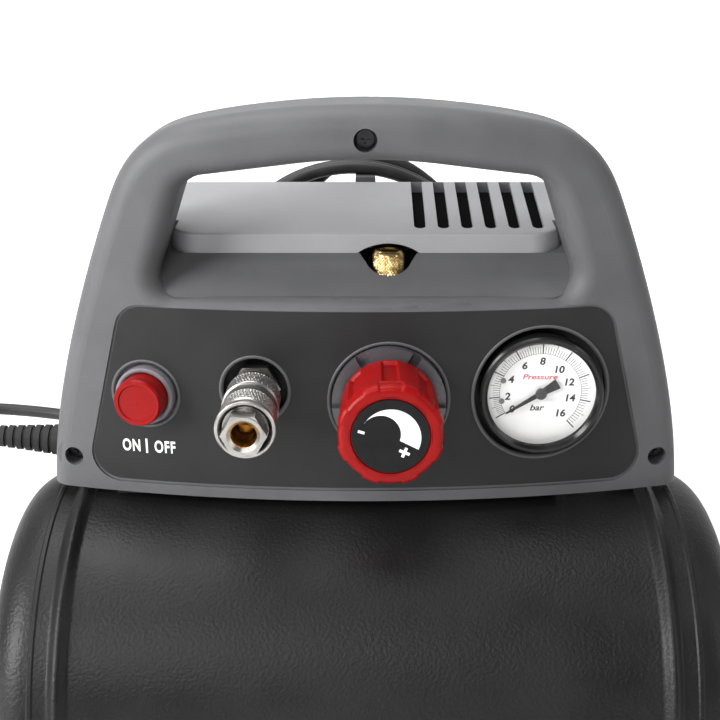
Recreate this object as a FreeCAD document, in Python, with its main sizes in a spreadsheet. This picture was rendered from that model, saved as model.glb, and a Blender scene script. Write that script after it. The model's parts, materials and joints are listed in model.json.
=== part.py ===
import FreeCAD, Part
import math
import os

import Sketcher
from FreeCAD import Placement, Rotation, Vector

# Portable 8 litre oil-free air compressor: a lying air tank on four rubber feet, with a
# clamshell housing on top whose arch is the carrying handle.
# Row frame: millimetres, +Z up, +X to the right seen from the control panel, -Y out of
# the control panel. The origin is on the floor under the middle of the tank.

doc = FreeCAD.newDocument("AirCompressor")
sheet = doc.addObject("Spreadsheet::Sheet", "Sizes")
sub_parts = {}


# ---------------------------------------------------------------- sizes and expressions

class Size:
    """A number together with the sheet expression that gives it."""

    def __init__(self, value, text):
        self.value = float(value)
        self.text = text

    def __float__(self):
        return self.value

    def __add__(self, other):
        other = as_size(other)
        return Size(self.value + other.value, f"({self.text} + {other.text})")

    def __radd__(self, other):
        return as_size(other) + self

    def __sub__(self, other):
        other = as_size(other)
        return Size(self.value - other.value, f"({self.text} - {other.text})")

    def __rsub__(self, other):
        return as_size(other) - self

    def __mul__(self, other):
        other = as_size(other)
        return Size(self.value * other.value, f"({self.text} * {other.text})")

    def __rmul__(self, other):
        return as_size(other) * self

    def __truediv__(self, other):
        other = as_size(other)
        return Size(self.value / other.value, f"({self.text} / {other.text})")

    def __neg__(self):
        return Size(-self.value, f"(0 - {self.text})")


def as_size(number):
    """A bare number as a Size, so that both can be mixed in sums."""
    if isinstance(number, Size):
        return number
    return Size(number, f"{float(number):.6g}")


next_row = 1


def driving(alias, value, note):
    """Write one driving dimension into the sheet and give it back as a Size."""
    global next_row
    sheet.set(f"A{next_row}", note)
    sheet.set(f"B{next_row}", str(value))
    sheet.setAlias(f"B{next_row}", alias)
    next_row += 1
    return Size(value, f"Sizes.{alias}")


# Tank
tank_radius = driving("tank_radius", 90, "outer radius of the tank shell")
tank_axis = driving("tank_axis_height", 115, "height of the tank axis over the floor")
tank_half = driving("tank_half_length", 138, "half length of the rolled shell")
tank_reach = driving("tank_half_reach", 165, "half length over the domed ends")
tank_wall = driving("tank_wall", 2, "tank sheet thickness")
bead_inner = driving("bead_start", 122.5, "distance from the middle where the end bead starts")
bead_width = driving("bead_width", 8.5, "width of the end bead")
bead_rise = driving("bead_rise", 3, "height of the end bead over the shell")
knuckle = driving("knuckle_radius", 20, "corner radius of the domed ends")
foot_x = driving("foot_offset_x", 95, "foot position along the tank")
foot_y = driving("foot_offset_y", 66, "foot position across the tank")
foot_radius = driving("foot_radius", 15, "radius of a rubber foot")
foot_rise = driving("foot_height", 14, "height of a rubber foot")
bracket_sheet = driving("bracket_sheet", 3, "sheet thickness of the foot brackets")

# Housing
housing_base = driving("housing_base_height", 209, "height of the housing's lower edge")
housing_front = driving("housing_front", 25, "distance of the panel in front of the axis")
parting = driving("parting_plane", 6, "plane where the two housing shells meet")
housing_back = driving("housing_back", 62.5, "back face of the rear shell")
plan_radius = driving("plan_radius", 550, "radius of the panel's bulge seen from above")
housing_wall = driving("housing_wall", 3, "wall thickness of the housing")
handle_back = driving("handle_back", 19, "back face of the handle arch")
panel_recess = driving("panel_recess", 1, "depth of the recessed control panel")
outer_round = driving("outer_rounding", 10.5, "rounding along the outside of the front shell")
hand_round = driving("handle_rounding", 8, "rounding round the hand opening")
opening_floor = driving("opening_floor_height", 299.5, "lower front edge of the hand opening")
cover_front_low = driving("cover_front_foot", 313.4, "foot of the silver cover's front face")
cover_front_top = driving("cover_front_top", 321.9, "top of the silver cover's front face")
cover_back_top = driving("cover_back_top", 334.7, "rear edge height of the silver cover")
cover_half = driving("cover_half_width", 88, "half width of the silver cover")
slot_width = driving("slot_width", 5.2, "width of a cooling slot")
slot_pitch = driving("slot_pitch", 10.4, "distance between cooling slots")
slot_first = driving("slot_first", 24, "first cooling slot")

# Controls
button_x = driving("button_x", -95.2, "push button, sideways")
button_z = driving("button_height", 256, "push button, height")
button_radius = driving("button_radius", 10.5, "radius of the red button cap")
button_travel = driving("button_travel", 4, "travel of the button cap")
coupler_x = driving("coupler_x", -47.3, "quick coupler, sideways")
coupler_z = driving("coupler_height", 260, "quick coupler, height")
coupler_bore = driving("coupler_bore_radius", 5.2, "bore for the hose plug")
sleeve_radius = driving("sleeve_radius", 11.8, "radius of the coupler sleeve")
sleeve_travel = driving("sleeve_travel", 4, "travel of the coupler sleeve")
knob_x = driving("knob_x", 10, "regulator knob, sideways")
knob_z = driving("knob_height", 256, "regulator knob, height")
knob_radius = driving("knob_radius", 21.8, "radius of the regulator knob")
knob_face = driving("knob_face", 65, "distance of the knob's face in front of the axis")
gauge_x = driving("gauge_x", 75.6, "pressure gauge, sideways")
gauge_z = driving("gauge_height", 257.5, "pressure gauge, height")
bezel_radius = driving("bezel_radius", 26.5, "outer radius of the gauge bezel")
zero_mark = driving("gauge_zero_angle", 212, "pointer angle at zero, anticlockwise from +X")
valve_x = driving("valve_x", 10, "safety valve, sideways")
valve_y = driving("valve_y", 5.7, "safety valve, back from the axis")
valve_top = driving("valve_top", 315, "top of the safety valve cap")
valve_radius = driving("valve_cap_radius", 7, "radius of the safety valve cap")
valve_lift = driving("valve_lift", 1.5, "lift of the safety valve cap")

# Pump
shaft_y = driving("shaft_y", 31, "crankshaft axis, back from the tank axis")
shaft_z = driving("shaft_height", 250, "crankshaft axis, height")
motor_radius = driving("motor_radius", 28, "outer radius of the motor stator")
cylinder_x = driving("cylinder_x", 47, "cylinder axis, sideways")
bore_radius = driving("bore_radius", 19, "cylinder bore radius")
crank_throw = driving("crank_throw", 7, "throw of the crank pin")

# Mains lead
cord_radius = driving("cord_radius", 3.1, "radius of the mains lead")
coil_radius = driving("coil_radius", 68, "radius of the coil on its hook")
coil_x = driving("coil_x", -6, "coil centre, sideways")
coil_z = driving("coil_height", 273, "coil centre, height")


# ------------------------------------------------------------------- building helpers

TURN = {
    "Z": Rotation(),
    "-Z": Rotation(Vector(1, 0, 0), 180),
    "Y": Rotation(Vector(1, 0, 0), -90),
    "-Y": Rotation(Vector(1, 0, 0), 90),
    "X": Rotation(Vector(0, 1, 0), 90),
    "-X": Rotation(Vector(0, 1, 0), -90),
}


def bind(thing, prop, size):
    """Set a property from a Size or a number, by expression."""
    thing.setExpression(prop, as_size(size).text)


def place(thing, at, along="Z"):
    """Put a piece at a point, with its own Z axis along a row axis."""
    turn = TURN[along] if isinstance(along, str) else along
    thing.Placement = Placement(Vector(*[float(c) for c in at]), turn)
    for letter, size in zip("xyz", at):
        bind(thing, f"Placement.Base.{letter}", size)


def rod(name, radius, height, at, along="Z"):
    """A plain round bar."""
    piece = doc.addObject("Part::Cylinder", name)
    bind(piece, "Radius", radius)
    bind(piece, "Height", height)
    place(piece, at, along)
    return piece


def block(name, sizes, at):
    """A box from its lowest corner."""
    piece = doc.addObject("Part::Box", name)
    for prop, size in zip(("Length", "Width", "Height"), sizes):
        bind(piece, prop, size)
    place(piece, at)
    return piece


def hexagon(name, across_flats, height, at, along="Z"):
    """A six-sided bar, for nuts and spanner flats."""
    piece = doc.addObject("Part::Prism", name)
    piece.Polygon = 6
    bind(piece, "Circumradius", as_size(across_flats) * 0.57735)
    bind(piece, "Height", height)
    place(piece, at, along)
    return piece


def join(name, pieces):
    """Several solids as one, fused where they meet."""
    piece = doc.addObject("Part::MultiFuse", name)
    piece.Shapes = pieces
    return piece


def cut(name, base, tools):
    """A solid with the tools taken out of it."""
    piece = doc.addObject("Part::Cut", name)
    piece.Base = base
    piece.Tool = tools[0] if len(tools) == 1 else join(name + "_tools", tools)
    return piece


def formed(name, shape):
    """A sub-part whose shape comes from a function below."""
    piece = doc.addObject("Part::Feature", name)
    piece.Shape = shape
    piece.Placement = Placement()
    return piece


def node(label, piece):
    """Register a finished piece as a sub-part with its own file."""
    piece.Label = label
    sub_parts[label] = piece
    return piece


def origin_plane(body, role):
    """One of a body's own origin planes."""
    for feature in body.Origin.OriginFeatures:
        if feature.Role == role:
            return feature
    raise ValueError(role)


def closed_sketch(body, name, role, points):
    """A closed outline of straight lines, every corner held by the sheet."""
    sketch = body.newObject("Sketcher::SketchObject", name)
    sketch.AttachmentSupport = [(origin_plane(body, role), "")]
    sketch.MapMode = "FlatFace"
    spots = [Vector(float(a), float(b), 0) for a, b in points]
    lines = [Part.LineSegment(p, q) for p, q in zip(spots, spots[1:] + spots[:1])]
    sketch.addGeometry(lines, False)
    count = len(spots)
    for i in range(count):
        sketch.addConstraint(Sketcher.Constraint("Coincident", i, 2, (i + 1) % count, 1))
    for i, corner in enumerate(points):
        for kind, axis_line, size in (("DistanceX", -2, corner[0]), ("DistanceY", -1, corner[1])):
            if float(size) == 0:
                sketch.addConstraint(Sketcher.Constraint("PointOnObject", i, 1, axis_line))
                continue
            index = sketch.addConstraint(Sketcher.Constraint(kind, -1, 1, i, 1, float(size)))
            sketch.setExpression(f"Constraints[{index}]", as_size(size).text)
    return sketch


def lathe(label, profile, at, along="Z"):
    """A turned piece: its profile is a closed outline of (radius, height) corners."""
    body = doc.addObject("PartDesign::Body", label)
    sketch = closed_sketch(body, label + "_profile", "XZ_Plane", profile)
    turned = body.newObject("PartDesign::Revolution", label + "_turned")
    turned.Profile = sketch
    turned.ReferenceAxis = (sketch, ["V_Axis"])
    turned.Angle = 360
    body.Tip = turned
    place(body, at, along)
    return body


def repeat_round(body, feature, count, name):
    """Repeat a body's feature round the body's own Z axis."""
    pattern = body.newObject("PartDesign::PolarPattern", name)
    pattern.Originals = [feature]
    pattern.Axis = (origin_plane(body, "Z_Axis"), [""])
    pattern.Angle = 360
    pattern.Occurrences = count
    body.Tip = pattern
    return pattern


def pocket_through(body, name, points, offset, depth):
    """A pocket from a sketch on the body's XY plane, upward from offset for depth."""
    sketch = closed_sketch(body, name + "_sketch", "XY_Plane", points)
    sketch.AttachmentOffset = Placement(Vector(0, 0, float(offset)), Rotation())
    bind(sketch, "AttachmentOffset.Base.z", offset)
    pocket = body.newObject("PartDesign::Pocket", name)
    pocket.Profile = sketch
    pocket.Reversed = True
    bind(pocket, "Length", depth)
    body.Tip = pocket
    return pocket


def rounded_wire(corners, y):
    """A closed wire in the plane at y through (x, z, radius) corners, each rounded."""
    spots = [Vector(x, y, z) for x, z, _ in corners]
    edges = []
    starts, ends = [], []
    for i, (_, _, radius) in enumerate(corners):
        back = (spots[i - 1] - spots[i]).normalize()
        ahead = (spots[(i + 1) % len(spots)] - spots[i]).normalize()
        half = math.acos(max(-1.0, min(1.0, back.dot(ahead)))) / 2
        reach = radius / math.tan(half)
        middle = (back + ahead).normalize() * (radius / math.sin(half) - radius)
        starts.append(spots[i] + back * reach)
        ends.append(spots[i] + ahead * reach)
        edges.append(Part.Arc(starts[-1], spots[i] + middle, ends[-1]).toShape())
    outline = []
    for i, arc in enumerate(edges):
        outline.append(arc)
        leave, arrive = ends[i], starts[(i + 1) % len(edges)]
        if leave.distanceToPoint(arrive) > 1e-4:
            outline.append(Part.LineSegment(leave, arrive).toShape())
    return Part.Wire(outline)


def slab(wire, depth):
    """A wire filled and pushed back along +Y."""
    return Part.Face(wire).extrude(Vector(0, depth, 0))


def box(low, high):
    """A plain box shape between two corners."""
    return Part.makeBox(high[0] - low[0], high[1] - low[1], high[2] - low[2], Vector(*low))


def tube_path(points):
    """Straight runs joined by tangent arcs, and the arcs' radii."""
    spots = [Vector(*p) for p in points]
    edges, radii = [], []
    leave = spots[0]
    for before, here, after in zip(spots, spots[1:], spots[2:]):
        back = (before - here)
        ahead = (after - here)
        shorter = min(back.Length, ahead.Length)
        back.normalize()
        ahead.normalize()
        half_turn = (math.pi - math.acos(max(-1.0, min(1.0, back.dot(ahead))))) / 2
        radius = 0.45 * shorter / math.tan(half_turn)
        reach = 0.45 * shorter
        bisector = (back + ahead).normalize()
        middle = here + bisector * (radius / math.cos(half_turn) - radius)
        start, end = here + back * reach, here + ahead * reach
        edges.append(Part.LineSegment(leave, start).toShape())
        edges.append(Part.Arc(start, middle, end).toShape())
        radii.append(radius)
        leave = end
    edges.append(Part.LineSegment(leave, spots[-1]).toShape())
    return Part.Wire(edges), radii


def tube(points, radius):
    """A round tube solid along a route, with its radii and path length."""
    path, radii = tube_path(points)
    heading = Vector(*points[1]) - Vector(*points[0])
    ring = Part.Wire([Part.makeCircle(radius, Vector(*points[0]), heading)])
    solid = path.makePipeShell([ring], True, True)
    wanted = math.pi * radius ** 2 * path.Length
    if abs(solid.Volume / wanted - 1) > 0.01:
        raise ValueError(f"tube volume {solid.Volume:.0f} is not {wanted:.0f}")
    return solid, radii, path.Length


# --------------------------------------------------------------------------- the tank

def end_cap_profile():
    """Half section of a domed end: a flat-crowned dish with a knuckle."""
    lip, crown = float(tank_half), float(tank_reach)
    outer, wall, corner = float(tank_radius), float(tank_wall), float(knuckle)
    swing = math.sqrt(0.5)

    def skin(shrink):
        edge, top, radius = outer - shrink, crown - shrink, corner - shrink
        shoulder = top - 6
        return edge, top, radius, shoulder

    edge, top, radius, shoulder = skin(0)
    inner_edge, inner_top, inner_radius, inner_shoulder = skin(wall)

    def run(edge, top, radius, shoulder):
        centre = (edge - radius, shoulder - radius)
        return [
            Part.Arc(Vector(0, 0, top), Vector(centre[0] / 2, 0, top - 1.5),
                     Vector(centre[0], 0, shoulder)).toShape(),
            Part.Arc(Vector(centre[0], 0, shoulder),
                     Vector(centre[0] + radius * swing, 0, centre[1] + radius * swing),
                     Vector(edge, 0, centre[1])).toShape(),
            Part.LineSegment(Vector(edge, 0, centre[1]), Vector(edge, 0, lip)).toShape(),
        ]

    outside = run(edge, top, radius, shoulder)
    inside = run(inner_edge, inner_top, inner_radius, inner_shoulder)
    rim = Part.LineSegment(Vector(edge, 0, lip), Vector(inner_edge, 0, lip)).toShape()
    crest = Part.LineSegment(Vector(0, 0, inner_top), Vector(0, 0, top)).toShape()
    return Part.Wire(Part.__sortEdges__(outside + inside + [rim, crest]))


BEAD_STEPS = 8


def make_tank():
    """Rolled shell with a raised bead at each end, and two pressed ends welded on."""
    long = tank_half * 2
    inside = tank_radius - tank_wall
    near_bead = [(tank_radius + bead_rise * math.sin(math.pi * n / BEAD_STEPS),
                  tank_half - bead_inner - bead_width * (BEAD_STEPS - n) / BEAD_STEPS)
                 for n in range(BEAD_STEPS + 1)]
    far_bead = [(radius, long - along) for radius, along in reversed(near_bead)]
    profile = [(inside, 0), (tank_radius, 0)] + near_bead + far_bead
    profile += [(tank_radius, long), (inside, long)]
    shell = lathe("tank_tube", profile, (-tank_half, 0, tank_axis), "X")
    port = rod("tank_port_hole", 4, 20, (98, 30, tank_axis + 76))
    feed = rod("tank_feed_hole", 3, 20, (-22, -2, tank_axis + 80))
    drain = rod("tank_drain_hole", 4, 20, (0, 0, tank_axis - tank_radius - 8))
    node("tank_shell", cut("tank_shell", shell, [port, feed, drain]))
    dish = Part.Face(end_cap_profile()).revolve(Vector(0, 0, 0), Vector(0, 0, 1), 360)
    for side, turn in (("right", "X"), ("left", "-X")):
        cap = formed(f"tank_end_{side}", dish)
        place(cap, (0, 0, tank_axis), turn)
        node(f"tank_end_{side}", cap)


def make_feet():
    """Two bent sheet brackets welded under the tank, each with two rubber feet."""
    flange = 30
    low = foot_rise
    feet = []
    for side, sign in (("right", 1), ("left", -1)):
        centre = foot_x * sign
        foot_spot = (foot_x + 8) * sign
        web = block(f"bracket_web_{side}", (bracket_sheet, foot_y * 2 + 24, 80),
                    (centre - bracket_sheet / 2, -foot_y - 12, low))
        base = block(f"bracket_base_{side}", (flange, foot_y * 2 + 24, bracket_sheet),
                     (centre - flange / 2, -foot_y - 12, low))
        sheet_metal = join(f"bracket_sheet_{side}", [web, base])
        room = rod(f"bracket_room_{side}", tank_radius, 60, (centre - 30, 0, tank_axis), "X")
        above = block(f"bracket_above_{side}", (60, 200, 100), (centre - 30, -100, 72))
        holes = [rod(f"bracket_hole_{side}_{n}", 2.6, 8, (foot_spot, foot_y * way, low - 2))
                 for n, way in enumerate((1, -1))]
        node(f"foot_bracket_{side}",
             cut(f"foot_bracket_{side}", sheet_metal, [room, above] + holes))
        for place_name, way in (("front", -1), ("rear", 1)):
            r, top = foot_radius, foot_rise
            profile = [(2.6, 4), (6, 4), (6, 0), (r - 2, 0), (r, 2), (r - 1.5, top),
                       (2.6, top)]
            feet.append(lathe(f"rubber_foot_{place_name}_{side}", profile,
                              (foot_spot, foot_y * way, 0)))
    rubber = doc.addObject("Part::Compound", "rubber_feet")
    rubber.Links = feet
    node("rubber_feet", rubber)
    screws = []
    for side in (1, -1):
        for way in (1, -1):
            spot = ((foot_x + 8) * side, foot_y * way)
            head = rod(f"foot_screw_head_{side}_{way}", 4.6, 3, (spot[0], spot[1], 1))
            shank = rod(f"foot_screw_shank_{side}_{way}", 2.5, 20, (spot[0], spot[1], 1))
            nut = hexagon(f"foot_nut_{side}_{way}", 8, 4,
                          (spot[0], spot[1], foot_rise + bracket_sheet))
            screws.append(join(f"foot_screw_{side}_{way}", [head, shank, nut]))
    group = doc.addObject("Part::Compound", "foot_screws")
    group.Links = screws
    node("foot_screws", group)


make_tank()
make_feet()


# ------------------------------------------------------------------------ the housing

# Half outline of the housing and its handle arch, as (half width, height).
ARCH_SIDE = [(142, 209), (139, 235), (131, 271), (121, 304), (109, 337), (102, 352),
             (94.4, 361.5), (84, 368.7), (67, 373.8), (43, 377.4)]
ARCH_TOP = 379.9
SHELL_START = -40


def arch_wire(inset=0.0, y=SHELL_START):
    """Outline of the housing from the front, moved inwards by inset."""
    right = [Vector(x, y, z) for x, z in ARCH_SIDE]
    left = [Vector(-x, y, z) for x, z in reversed(ARCH_SIDE)]
    curve = Part.BSplineCurve()
    curve.interpolate(right + [Vector(0, y, ARCH_TOP)] + left)
    if inset:
        steps = 60
        first, last = curve.FirstParameter, curve.LastParameter
        moved = []
        for i in range(steps + 1):
            here = first + (last - first) * i / steps
            along = curve.tangent(here)[0]
            moved.append(curve.value(here) + Vector(-along.z, 0, along.x) * inset)
        curve = Part.BSplineCurve()
        curve.approximate(Points=moved, Tolerance=0.05)
    arch = curve.toShape()
    start, end = arch.Vertexes[0].Point, arch.Vertexes[-1].Point
    return Part.Wire([arch, Part.LineSegment(end, start).toShape()])


def opening_wire(grow=0.0, y=SHELL_START):
    """Outline of the hand opening, made larger by grow."""
    low = float(opening_floor) - grow
    return rounded_wire([
        (-90 - grow, low, 9 + grow), (90 + grow, low, 9 + grow),
        (87.5 + grow, 313, 10 + grow), (75 + grow, 350 + grow, 13 + grow),
        (0, 360 + grow, 240 + grow), (-75 - grow, 350 + grow, 13 + grow),
        (-87.5 - grow, 313, 10 + grow),
    ], y)


def bulge(shrink=0.0):
    """The upright cylinder whose front is the bulged control panel."""
    radius = float(plan_radius) - shrink
    return Part.makeCylinder(radius, 400, Vector(0, float(plan_radius - housing_front), 100))


def edges_where(shape, test):
    """The edges whose bounding box passes a test."""
    return [edge for edge in shape.Edges if test(edge.BoundBox)]


def in_opening(limits):
    """Whether an edge belongs to the hand opening."""
    return limits.XMax < 97 and limits.XMin > -97 and limits.ZMax < 362


def post(x, z, radius, start, end):
    """A round bar shape along Y."""
    return Part.makeCylinder(radius, end - start, Vector(x, start, z), Vector(0, 1, 0))


CORNER_SCREWS = [(-130.6, 223.8), (130.6, 223.8)]
HANDLE_SCREW = (0, 366.5)


def make_front_shell():
    """Front half of the clamshell: control panel, hand opening, shelf and half the handle."""
    meet = float(parting)
    depth = meet - SHELL_START
    wall = float(housing_wall)
    body = slab(arch_wire(), depth).cut(slab(opening_wire(), depth)).common(bulge())
    outside = edges_where(body, lambda b: b.YMax < meet - 4 and b.ZMax > 212
                          and not in_opening(b))
    body = body.makeFillet(float(outer_round), outside)
    inside = edges_where(body, lambda b: b.YMax < meet - 4 and in_opening(b))
    body = body.makeFillet(float(hand_round), inside)

    hollow = slab(arch_wire(wall), depth).cut(slab(opening_wire(wall), depth))
    hollow = hollow.common(bulge(wall))
    deeper = box((-200, SHELL_START, 340), (200, -14, 400))
    hollow = hollow.cut(deeper)
    below = box((-136, -30, 200), (136, meet, 214)).common(bulge(wall))
    body = body.cut(hollow).cut(below)

    shelf_rise = float(cover_front_low)
    shelf = Part.Face(Part.makePolygon([
        Vector(-100, -15, 299), Vector(-100, meet, shelf_rise), Vector(-100, meet, 299),
        Vector(-100, -15, 299)])).extrude(Vector(200, 0, 0))
    shelf = shelf.common(slab(opening_wire(0.5), depth))
    bosses = [post(x, z, 8, -18, meet) for x, z in CORNER_SCREWS]
    bosses.append(post(*HANDLE_SCREW, 7, -18, meet))
    inner_block = slab(arch_wire(0.5), depth).common(bulge(1))
    body = body.fuse([shelf] + [boss.common(inner_block) for boss in bosses])

    recess = slab(rounded_wire([(-125.5, 213.8, 13), (125.5, 213.8, 13),
                                (105, 296.3, 12), (-105, 296.3, 12)], SHELL_START), depth)
    body = body.cut(recess.cut(bulge(float(panel_recess))))
    holes = [
        post(float(button_x), float(button_z), 14.2, SHELL_START, 0),
        post(float(coupler_x), float(coupler_z), 14.2, SHELL_START, 0),
        post(float(knob_x), float(knob_z), 25, SHELL_START, 0),
        post(float(gauge_x), float(gauge_z), 29.2, SHELL_START, 0),
        Part.makeCylinder(10.7, 40, Vector(float(valve_x), float(valve_y), 285)),
        Part.makeCone(10.7, 12.7, 3, Vector(float(valve_x), float(valve_y), 310.6)),
    ]
    for x, z in CORNER_SCREWS:
        holes += [post(x, z, 4.3, SHELL_START, 1), post(x, z, 2.2, SHELL_START, 10)]
    holes += [post(*HANDLE_SCREW, 4.8, SHELL_START, -16), post(*HANDLE_SCREW, 2.2, -20, 10)]
    body = body.cut(holes).removeSplitter()
    node("front_shell", formed("front_shell", body))


def cover_shoulders():
    """Fillings that carry the shelf round the two front corners of the silver cover."""
    meet, half, foot = float(parting), float(cover_half), float(cover_front_low)
    base, far = 300, meet + 18
    profile = [Vector(-91, meet, base), Vector(-91, meet, foot), Vector(-91, far, foot + 4.6),
               Vector(-91, far, base)]
    bar = Part.Face(Part.makePolygon(profile + profile[:1])).extrude(Vector(182, 0, 0))
    room = box((-half - 0.6, meet - 1, 290), (half + 0.6, far + 20, 330))
    room = room.makeFillet(16, edges_where(room, lambda b: b.YMax < meet
                                           and b.ZMax - b.ZMin > 5))
    between = box((-79.6, meet - 1, 290), (79.6, far + 20, 330))
    return bar.cut([room, between])


def make_rear_shell():
    """Rear half: back of the handle arch and the bay round motor and pump."""
    meet, back, grip = float(parting), float(housing_back), float(handle_back)
    wall = float(housing_wall)
    roof = 302
    arch = slab(arch_wire(y=meet), grip - meet).cut(slab(opening_wire(y=meet), grip - meet))
    rear_edges = edges_where(arch, lambda b: b.YMin > grip - 0.1 and b.ZMax > 212)
    arch = arch.makeFillet(float(hand_round), rear_edges)
    arch = arch.cut(slab(arch_wire(wall, meet), grip - meet - wall).cut(
        slab(opening_wire(wall, meet), grip - meet)))

    bay = slab(arch_wire(y=meet), back - meet).common(box((-200, 0, 200), (200, 100, roof)))
    back_edges = edges_where(bay, lambda b: b.YMin > back - 0.1 and b.ZMax > 212
                             and b.ZMax - b.ZMin > 1)
    bay = bay.makeFillet(float(outer_round), back_edges)
    room = slab(arch_wire(wall, meet - 1), back - meet - wall + 1)
    room = room.common(box((-200, 0, 200), (200, 100, roof - wall)))
    room_edges = edges_where(room, lambda b: b.YMin > back - wall - 0.1 and b.ZMax > 212
                             and b.ZMax - b.ZMin > 1)
    room = room.makeFillet(float(outer_round) - wall, room_edges)
    body = bay.fuse(arch.common(box((-200, 0, roof - wall), (200, 100, 400)))).cut(room)
    inside_skirt = box((-136, meet - 1, 200), (136, back - wall, 212))
    half = float(cover_half) - 9
    mouth = box((-half, meet - 1, roof - 10), (half, back - 4, roof + 1))
    body = body.cut([inside_skirt, mouth]).fuse(cover_shoulders())

    bosses = [post(x, z, 8, meet, meet + 5.3) for x, z in CORNER_SCREWS]
    bosses.append(post(*HANDLE_SCREW, 6, meet, grip - 1))
    outline = slab(arch_wire(0.5, meet), 30)
    body = body.fuse([boss.common(outline) for boss in bosses])
    holes = [post(x, z, 1.6, meet - 1, meet + 12) for x, z in CORNER_SCREWS + [HANDLE_SCREW]]
    holes.append(Part.makeCylinder(7.2, 20, Vector(-150, 20.5, 218.8), Vector(1, 0, 0)))
    for side in (-1, 1):
        for row in range(6):
            x = side * (84 + 6.5 * row)
            holes.append(box((x - 1.7, back - 8, 226), (x + 1.7, back + 1, 276)))
    body = body.cut(holes).removeSplitter()
    node("rear_shell", formed("rear_shell", body))


def make_top_cover():
    """Silver louvred cover over the cylinder head, sloping up to the back."""
    meet, back, half = float(parting), float(housing_back), float(cover_half)
    low, front, rear = 302.1, float(cover_front_top), float(cover_back_top)

    def wedge(shrink, base):
        near, far = meet + shrink, back - shrink
        polygon = [Vector(-half + shrink, near, base), Vector(-half + shrink, near, front - shrink),
                   Vector(-half + shrink, far, rear - shrink), Vector(-half + shrink, far, base)]
        solid = Part.Face(Part.makePolygon(polygon + polygon[:1])).extrude(
            Vector(2 * (half - shrink), 0, 0))
        front_corners = edges_where(solid, lambda b: b.YMax < near + 0.1
                                    and b.XMax - b.XMin < 0.1 and b.ZMax - b.ZMin > 5)
        solid = solid.makeFillet(16 - shrink, front_corners)
        back_corners = edges_where(solid, lambda b: b.YMin > far - 0.1
                                   and b.XMax - b.XMin < 0.1 and b.ZMax - b.ZMin > 5)
        return solid.makeFillet(5 - shrink, back_corners)

    def beside_opening(gap):
        """Where the handle arch stands, as seen from a cover that keeps this gap."""
        zone = box((-110, meet - 1, 290), (110, float(handle_back) + gap, 350))
        return zone.cut(slab(opening_wire(-gap), 80))

    outer = wedge(0, low)
    top_edges = edges_where(outer, lambda b: b.ZMin > front - 0.5)
    outer = outer.makeFillet(1.0, top_edges).cut(beside_opening(0.6))
    body = outer.cut(wedge(2, low - 1).cut(beside_opening(2.6)))
    slots = []
    for row in range(6):
        x = float(slot_first + slot_pitch * row)
        gap = float(slot_width) / 2
        slots.append(box((x - gap, 14, front - 8), (x + gap, back - 1, rear + 1)))
        slots.append(Part.makeCylinder(gap, rear - front + 9, Vector(x, 14, front - 8)))
    crest, round_radius = 317.6, 24
    notch = post(float(valve_x), crest - round_radius, round_radius, meet - 1, meet + 3)
    body = body.cut(slots + [notch])
    node("top_cover", formed("top_cover", body))
    rise = (rear - front) / (back - meet)
    under = 4.2
    near, far = meet + 8, back - 3
    line = [Vector(18, near, front + rise * 8 - under), Vector(18, far, rear - rise * 3 - under)]
    corners = line + [point - Vector(0, 0, 1.6) for point in reversed(line)]
    foam = Part.Face(Part.makePolygon(corners + corners[:1])).extrude(Vector(62, 0, 0))
    node("intake_filter", formed("intake_filter", foam))


make_front_shell()
make_rear_shell()
make_top_cover()


# ----------------------------------------------------------------------- the controls

def panel_tilt(x):
    """How far the bulged panel turns away from the front at a sideways place."""
    return math.degrees(math.asin(float(x) / float(plan_radius)))


def make_button():
    """On/off push button, square to the bulged panel, with the switch behind it."""
    lean = panel_tilt(button_x)
    outward = Vector(math.sin(math.radians(lean)), -math.cos(math.radians(lean)), 0)
    facing = Rotation(Vector(0, 0, 1), outward)
    depth = 10
    surface = float(plan_radius) * (1 - math.cos(math.radians(lean))) - float(housing_front)
    inner = Vector(float(button_x), surface, float(button_z)) - outward * depth
    at = (inner.x, inner.y, button_z)
    cap = [(0, 0), (9.3, 0), (button_radius, 1.2), (button_radius, 20.8),
           (button_radius - 0.7, 22), (button_radius - 2.2, 22), (button_radius - 2.6, 21.4),
           (0, 21.7)]
    node("button_cap", lathe("button_cap", cap, at, facing))
    bore = button_radius + 0.4
    collar = [(bore, 3), (15.6, 3), (15.6, 6), (12.8, 6), (12.8, 12.6), (12.2, 13.2),
              (11.6, 13.2), (bore, 12.7)]
    node("button_collar", lathe("button_collar", collar, at, facing))
    case = block("switch_case", (26, 26, 36), (button_x - 20.8, 0.5, button_z - 18))
    stem = rod("switch_stem", 3, 2.4, (button_x + 2, 0.5, button_z), "-Y")
    node("pressure_switch", join("pressure_switch", [case, stem]))


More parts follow.
